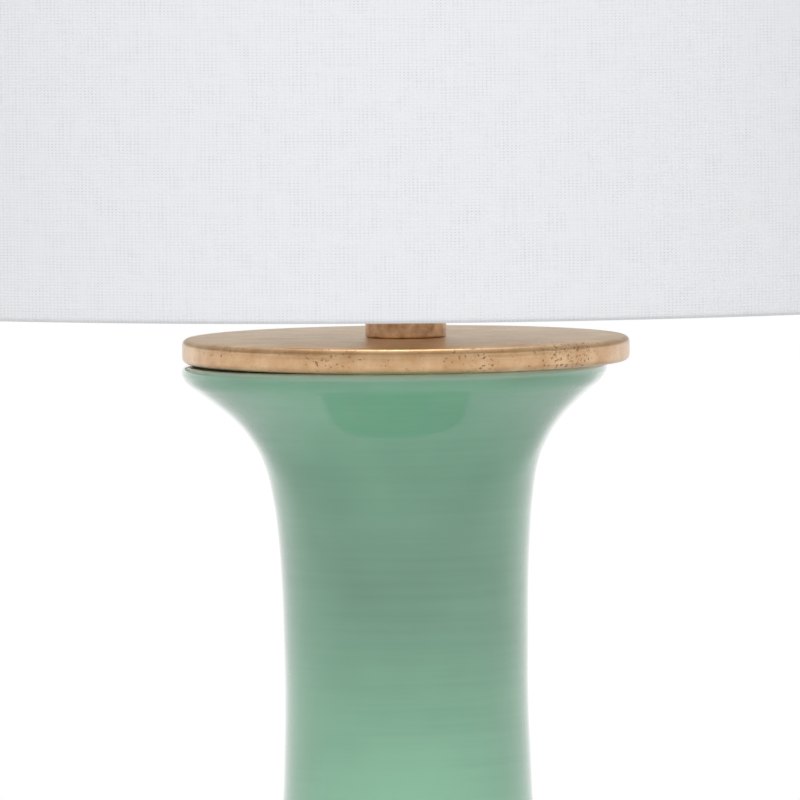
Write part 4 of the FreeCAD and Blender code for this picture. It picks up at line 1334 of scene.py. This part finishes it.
    def spider(self) -> None:
        """Builds the hub washer and its three cranked arms, which start inside the washer."""
        low, high = self.hub_z - self.hub_thick / 2.0, self.hub_z + self.hub_thick / 2.0
        shapes = [turn_up([(self.hub_hole_r, low, 0.15), (self.hub_r, low, 0.4), (self.hub_r, high, 0.4),
                           (self.hub_hole_r, high, 0.15)], steps=72)]
        ramp = self.hub_r + self.arm_flat
        path = ((self.arm_start, 0.0), (ramp, 0.0), (ramp + self.arm_ramp, self.arm_rise),
                (self.arm_end, self.arm_rise))
        for angle in self.arm_angles:
            x, y = math.cos(math.radians(angle)), math.sin(math.radians(angle))
            points = [(x * out, y * out, self.hub_z + rise) for out, rise in path]
            shapes.append(sweep(points, [self.arm_bend, self.arm_bend], self.wire_r))
        set_piece(join(shapes), "spider_wire", "shade_spider", Body.SHADE, PLATED_WIRE, crease=40.0)

    def build(self) -> None:
        """Builds the shade, its frame first."""
        self.ring(self.ring_low, "shade_ring_low", "shade_bottom_ring")
        self.ring(self.ring_high, "shade_ring_high", "shade_top_ring")
        self.liner()
        self.spider()
        self.fabric()


@dataclass
class Finial:
    """The turned brass foot of the finial and its gilded ball."""

    bottom: float = 697.9
    top: float = 713.9
    bore_r: float = 3.255
    bore_top: float = 710.9
    flange_r: float = 9.0
    flange_thick: float = 2.5
    neck_r: float = 5.6
    shoulder_r: float = 7.5
    ball_r: float = 12.0
    ball_seat_r: float = 7.0

    def build(self) -> None:
        """Builds the foot and the ball."""
        flange_top = self.bottom + self.flange_thick
        foot = turn_up([
            (0.0, self.bore_top, 0.0), (self.bore_r, self.bore_top, 0.0), (self.bore_r, self.bottom, 0.2),
            (self.flange_r, self.bottom, 0.8), (self.flange_r, flange_top, 0.9),
            (self.neck_r, flange_top + 2.0, 1.6), (self.neck_r, self.top - 3.4, 1.2),
            (self.shoulder_r, self.top - 0.4, 0.3), (self.shoulder_r, self.top, 0.1), (0.0, self.top, 0.0)],
            closed=False, steps=72)
        set_piece(foot, "finial_foot", "finial_base", Body.FINIAL, BRASS)
        centre_z = self.top + math.sqrt(self.ball_r ** 2 - self.ball_seat_r ** 2)
        ball = bmesh.new()
        bmesh.ops.create_uvsphere(ball, u_segments=72, v_segments=36, radius=self.ball_r,
                                  matrix=Matrix.Translation((0.0, 0.0, centre_z)))
        cut = bmesh.ops.bisect_plane(ball, geom=[*ball.verts, *ball.edges, *ball.faces],
                                     plane_co=(0.0, 0.0, self.top), plane_no=(0.0, 0.0, 1.0), clear_inner=True)
        rim = [item for item in cut["geom_cut"] if isinstance(item, bmesh.types.BMEdge)]
        bmesh.ops.holes_fill(ball, edges=rim)
        set_piece(ball, "finial_ball", "finial_knob", Body.FINIAL, LEAF, crease=45.0)


# -------------------------------------------------------------------------------------------------------------
# Studio
# -------------------------------------------------------------------------------------------------------------

@dataclass(frozen=True)
class SoftLight:
    """One soft light: where it stands, what it points at, its size in metres and its power in watts."""

    name: str
    place: Triple
    target: Triple
    size: float
    power: float

    def hang(self) -> None:
        """Makes the light."""
        lamp = bpy.data.lights.new(self.name, "AREA")
        lamp.shape, lamp.size, lamp.energy = "DISK", self.size, self.power
        holder = bpy.data.objects.new(self.name, lamp)
        holder.location = self.place
        holder.rotation_euler = (Vector(self.target) - Vector(self.place)).to_track_quat("-Z", "Y").to_euler()
        holder.visible_camera = False
        bpy.context.scene.collection.objects.link(holder)


@dataclass
class Studio:
    """White sweep, soft lights and the camera of the photograph. Lengths are in metres."""

    eye: Triple = (-0.0018, -2.5, 0.556)
    aim: Triple = (-0.0018, 0.0, 0.403)
    roll: float = -0.5
    lens: float = 397.0
    sensor: float = 36.0
    sight: float = 200.0
    floor_size: float = 60.0
    floor: str = "#F0F0F0"
    fade: Point = (0.55, 1.7)
    ambient: float = 0.37
    lights: tuple[SoftLight, ...] = field(default_factory=lambda: (
        SoftLight("front left softbox", (-1.7, -2.3, 2.4), (0.0, 0.0, 0.4), 1.4, 27.0),
        SoftLight("front right softbox", (1.7, -2.3, 2.3), (0.0, 0.0, 0.4), 1.4, 23.0),
        SoftLight("softbox over the camera", (0.0, -2.7, 2.3), (0.0, 0.0, 0.4), 0.9, 18.0),
        SoftLight("overhead softbox", (0.0, 0.4, 2.8), (0.0, 0.0, 0.5), 1.1, 14.0)))

    def seen(self, nodes: Nodes) -> Output:
        """Builds the mask of rays that see the backdrop: from the camera, off gloss and through glass.

        Args:
            nodes: Nodes of the floor or the world.

        Returns:
            1 for those rays.
        """
        path = nodes.add("LightPath").outputs
        either = nodes.calculate("MAXIMUM", path["Is Camera Ray"], path["Is Glossy Ray"])
        return nodes.calculate("MAXIMUM", either, path["Is Transmission Ray"])

    def sky(self) -> None:
        """Makes the world: white where it is seen, and a softer white as light."""
        world = bpy.data.worlds.new("white studio")
        nodes = empty_nodes(world)
        strength = nodes.mix(self.seen(nodes), self.ambient, 1.0)
        white = nodes.add("Background", {"Color": WHITE, "Strength": strength}).outputs[0]
        nodes.add("OutputWorld", {"Surface": white})
        bpy.context.scene.world = world

    def ground(self) -> None:
        """Makes the floor: lit round the lamp, where its shadow lies, and fading to white further off."""
        shape = bmesh.new()
        bmesh.ops.create_grid(shape, x_segments=1, y_segments=1, size=self.floor_size / 2.0)
        mesh = bpy.data.meshes.new("floor")
        shape.to_mesh(mesh)
        shape.free()
        made = bpy.data.materials.new("painted studio floor")
        nodes = empty_nodes(made)
        away = nodes.add("VectorMath", {0: nodes.place()}, operation="LENGTH").outputs["Value"]
        far = nodes.remap(away, self.fade, kind="SMOOTHSTEP")
        share = nodes.calculate("MULTIPLY", far, self.seen(nodes))
        paint = nodes.add("BsdfDiffuse", {"Color": linear(self.floor)}).outputs[0]
        white = nodes.add("Emission", {"Color": WHITE, "Strength": 1.0}).outputs[0]
        both = nodes.add("MixShader", {0: share, 1: paint, 2: white}).outputs[0]
        nodes.add("OutputMaterial", {"Surface": both})
        mesh.materials.append(made)
        floor = bpy.data.objects.new("floor", mesh)
        bpy.context.scene.collection.objects.link(floor)

    def camera(self) -> None:
        """Sets the camera where the photograph was taken."""
        eye = bpy.data.cameras.new("photograph")
        eye.lens, eye.sensor_width, eye.clip_end = self.lens, self.sensor, self.sight
        holder = bpy.data.objects.new("photograph", eye)
        holder.location = self.eye
        aim = (Vector(self.aim) - Vector(self.eye)).to_track_quat("-Z", "Y").to_matrix()
        holder.rotation_euler = (aim @ Matrix.Rotation(math.radians(self.roll), 3, "Z")).to_euler()
        bpy.context.scene.collection.objects.link(holder)
        bpy.context.scene.camera = holder

    def build(self) -> None:
        """Sets up the studio."""
        self.camera()
        self.sky()
        self.ground()
        for light in self.lights:
            light.hang()
        bpy.context.scene.view_settings.view_transform = "Standard"


def main() -> None:
    """Builds the lamp's sub-assemblies and the studio."""
    logging.basicConfig(level=logging.INFO, format="%(message)s")
    Studio().build()
    for assembly in (Stand(), Vase(), CapAndCollar(), Socket(), Switch(), Harp(), Bulb(), Shade(), Finial()):
        assembly.build()
        LOG.info("%s is done", type(assembly).__name__)
    bpy.context.view_layer.update()


if __name__ == "__main__":
    main()
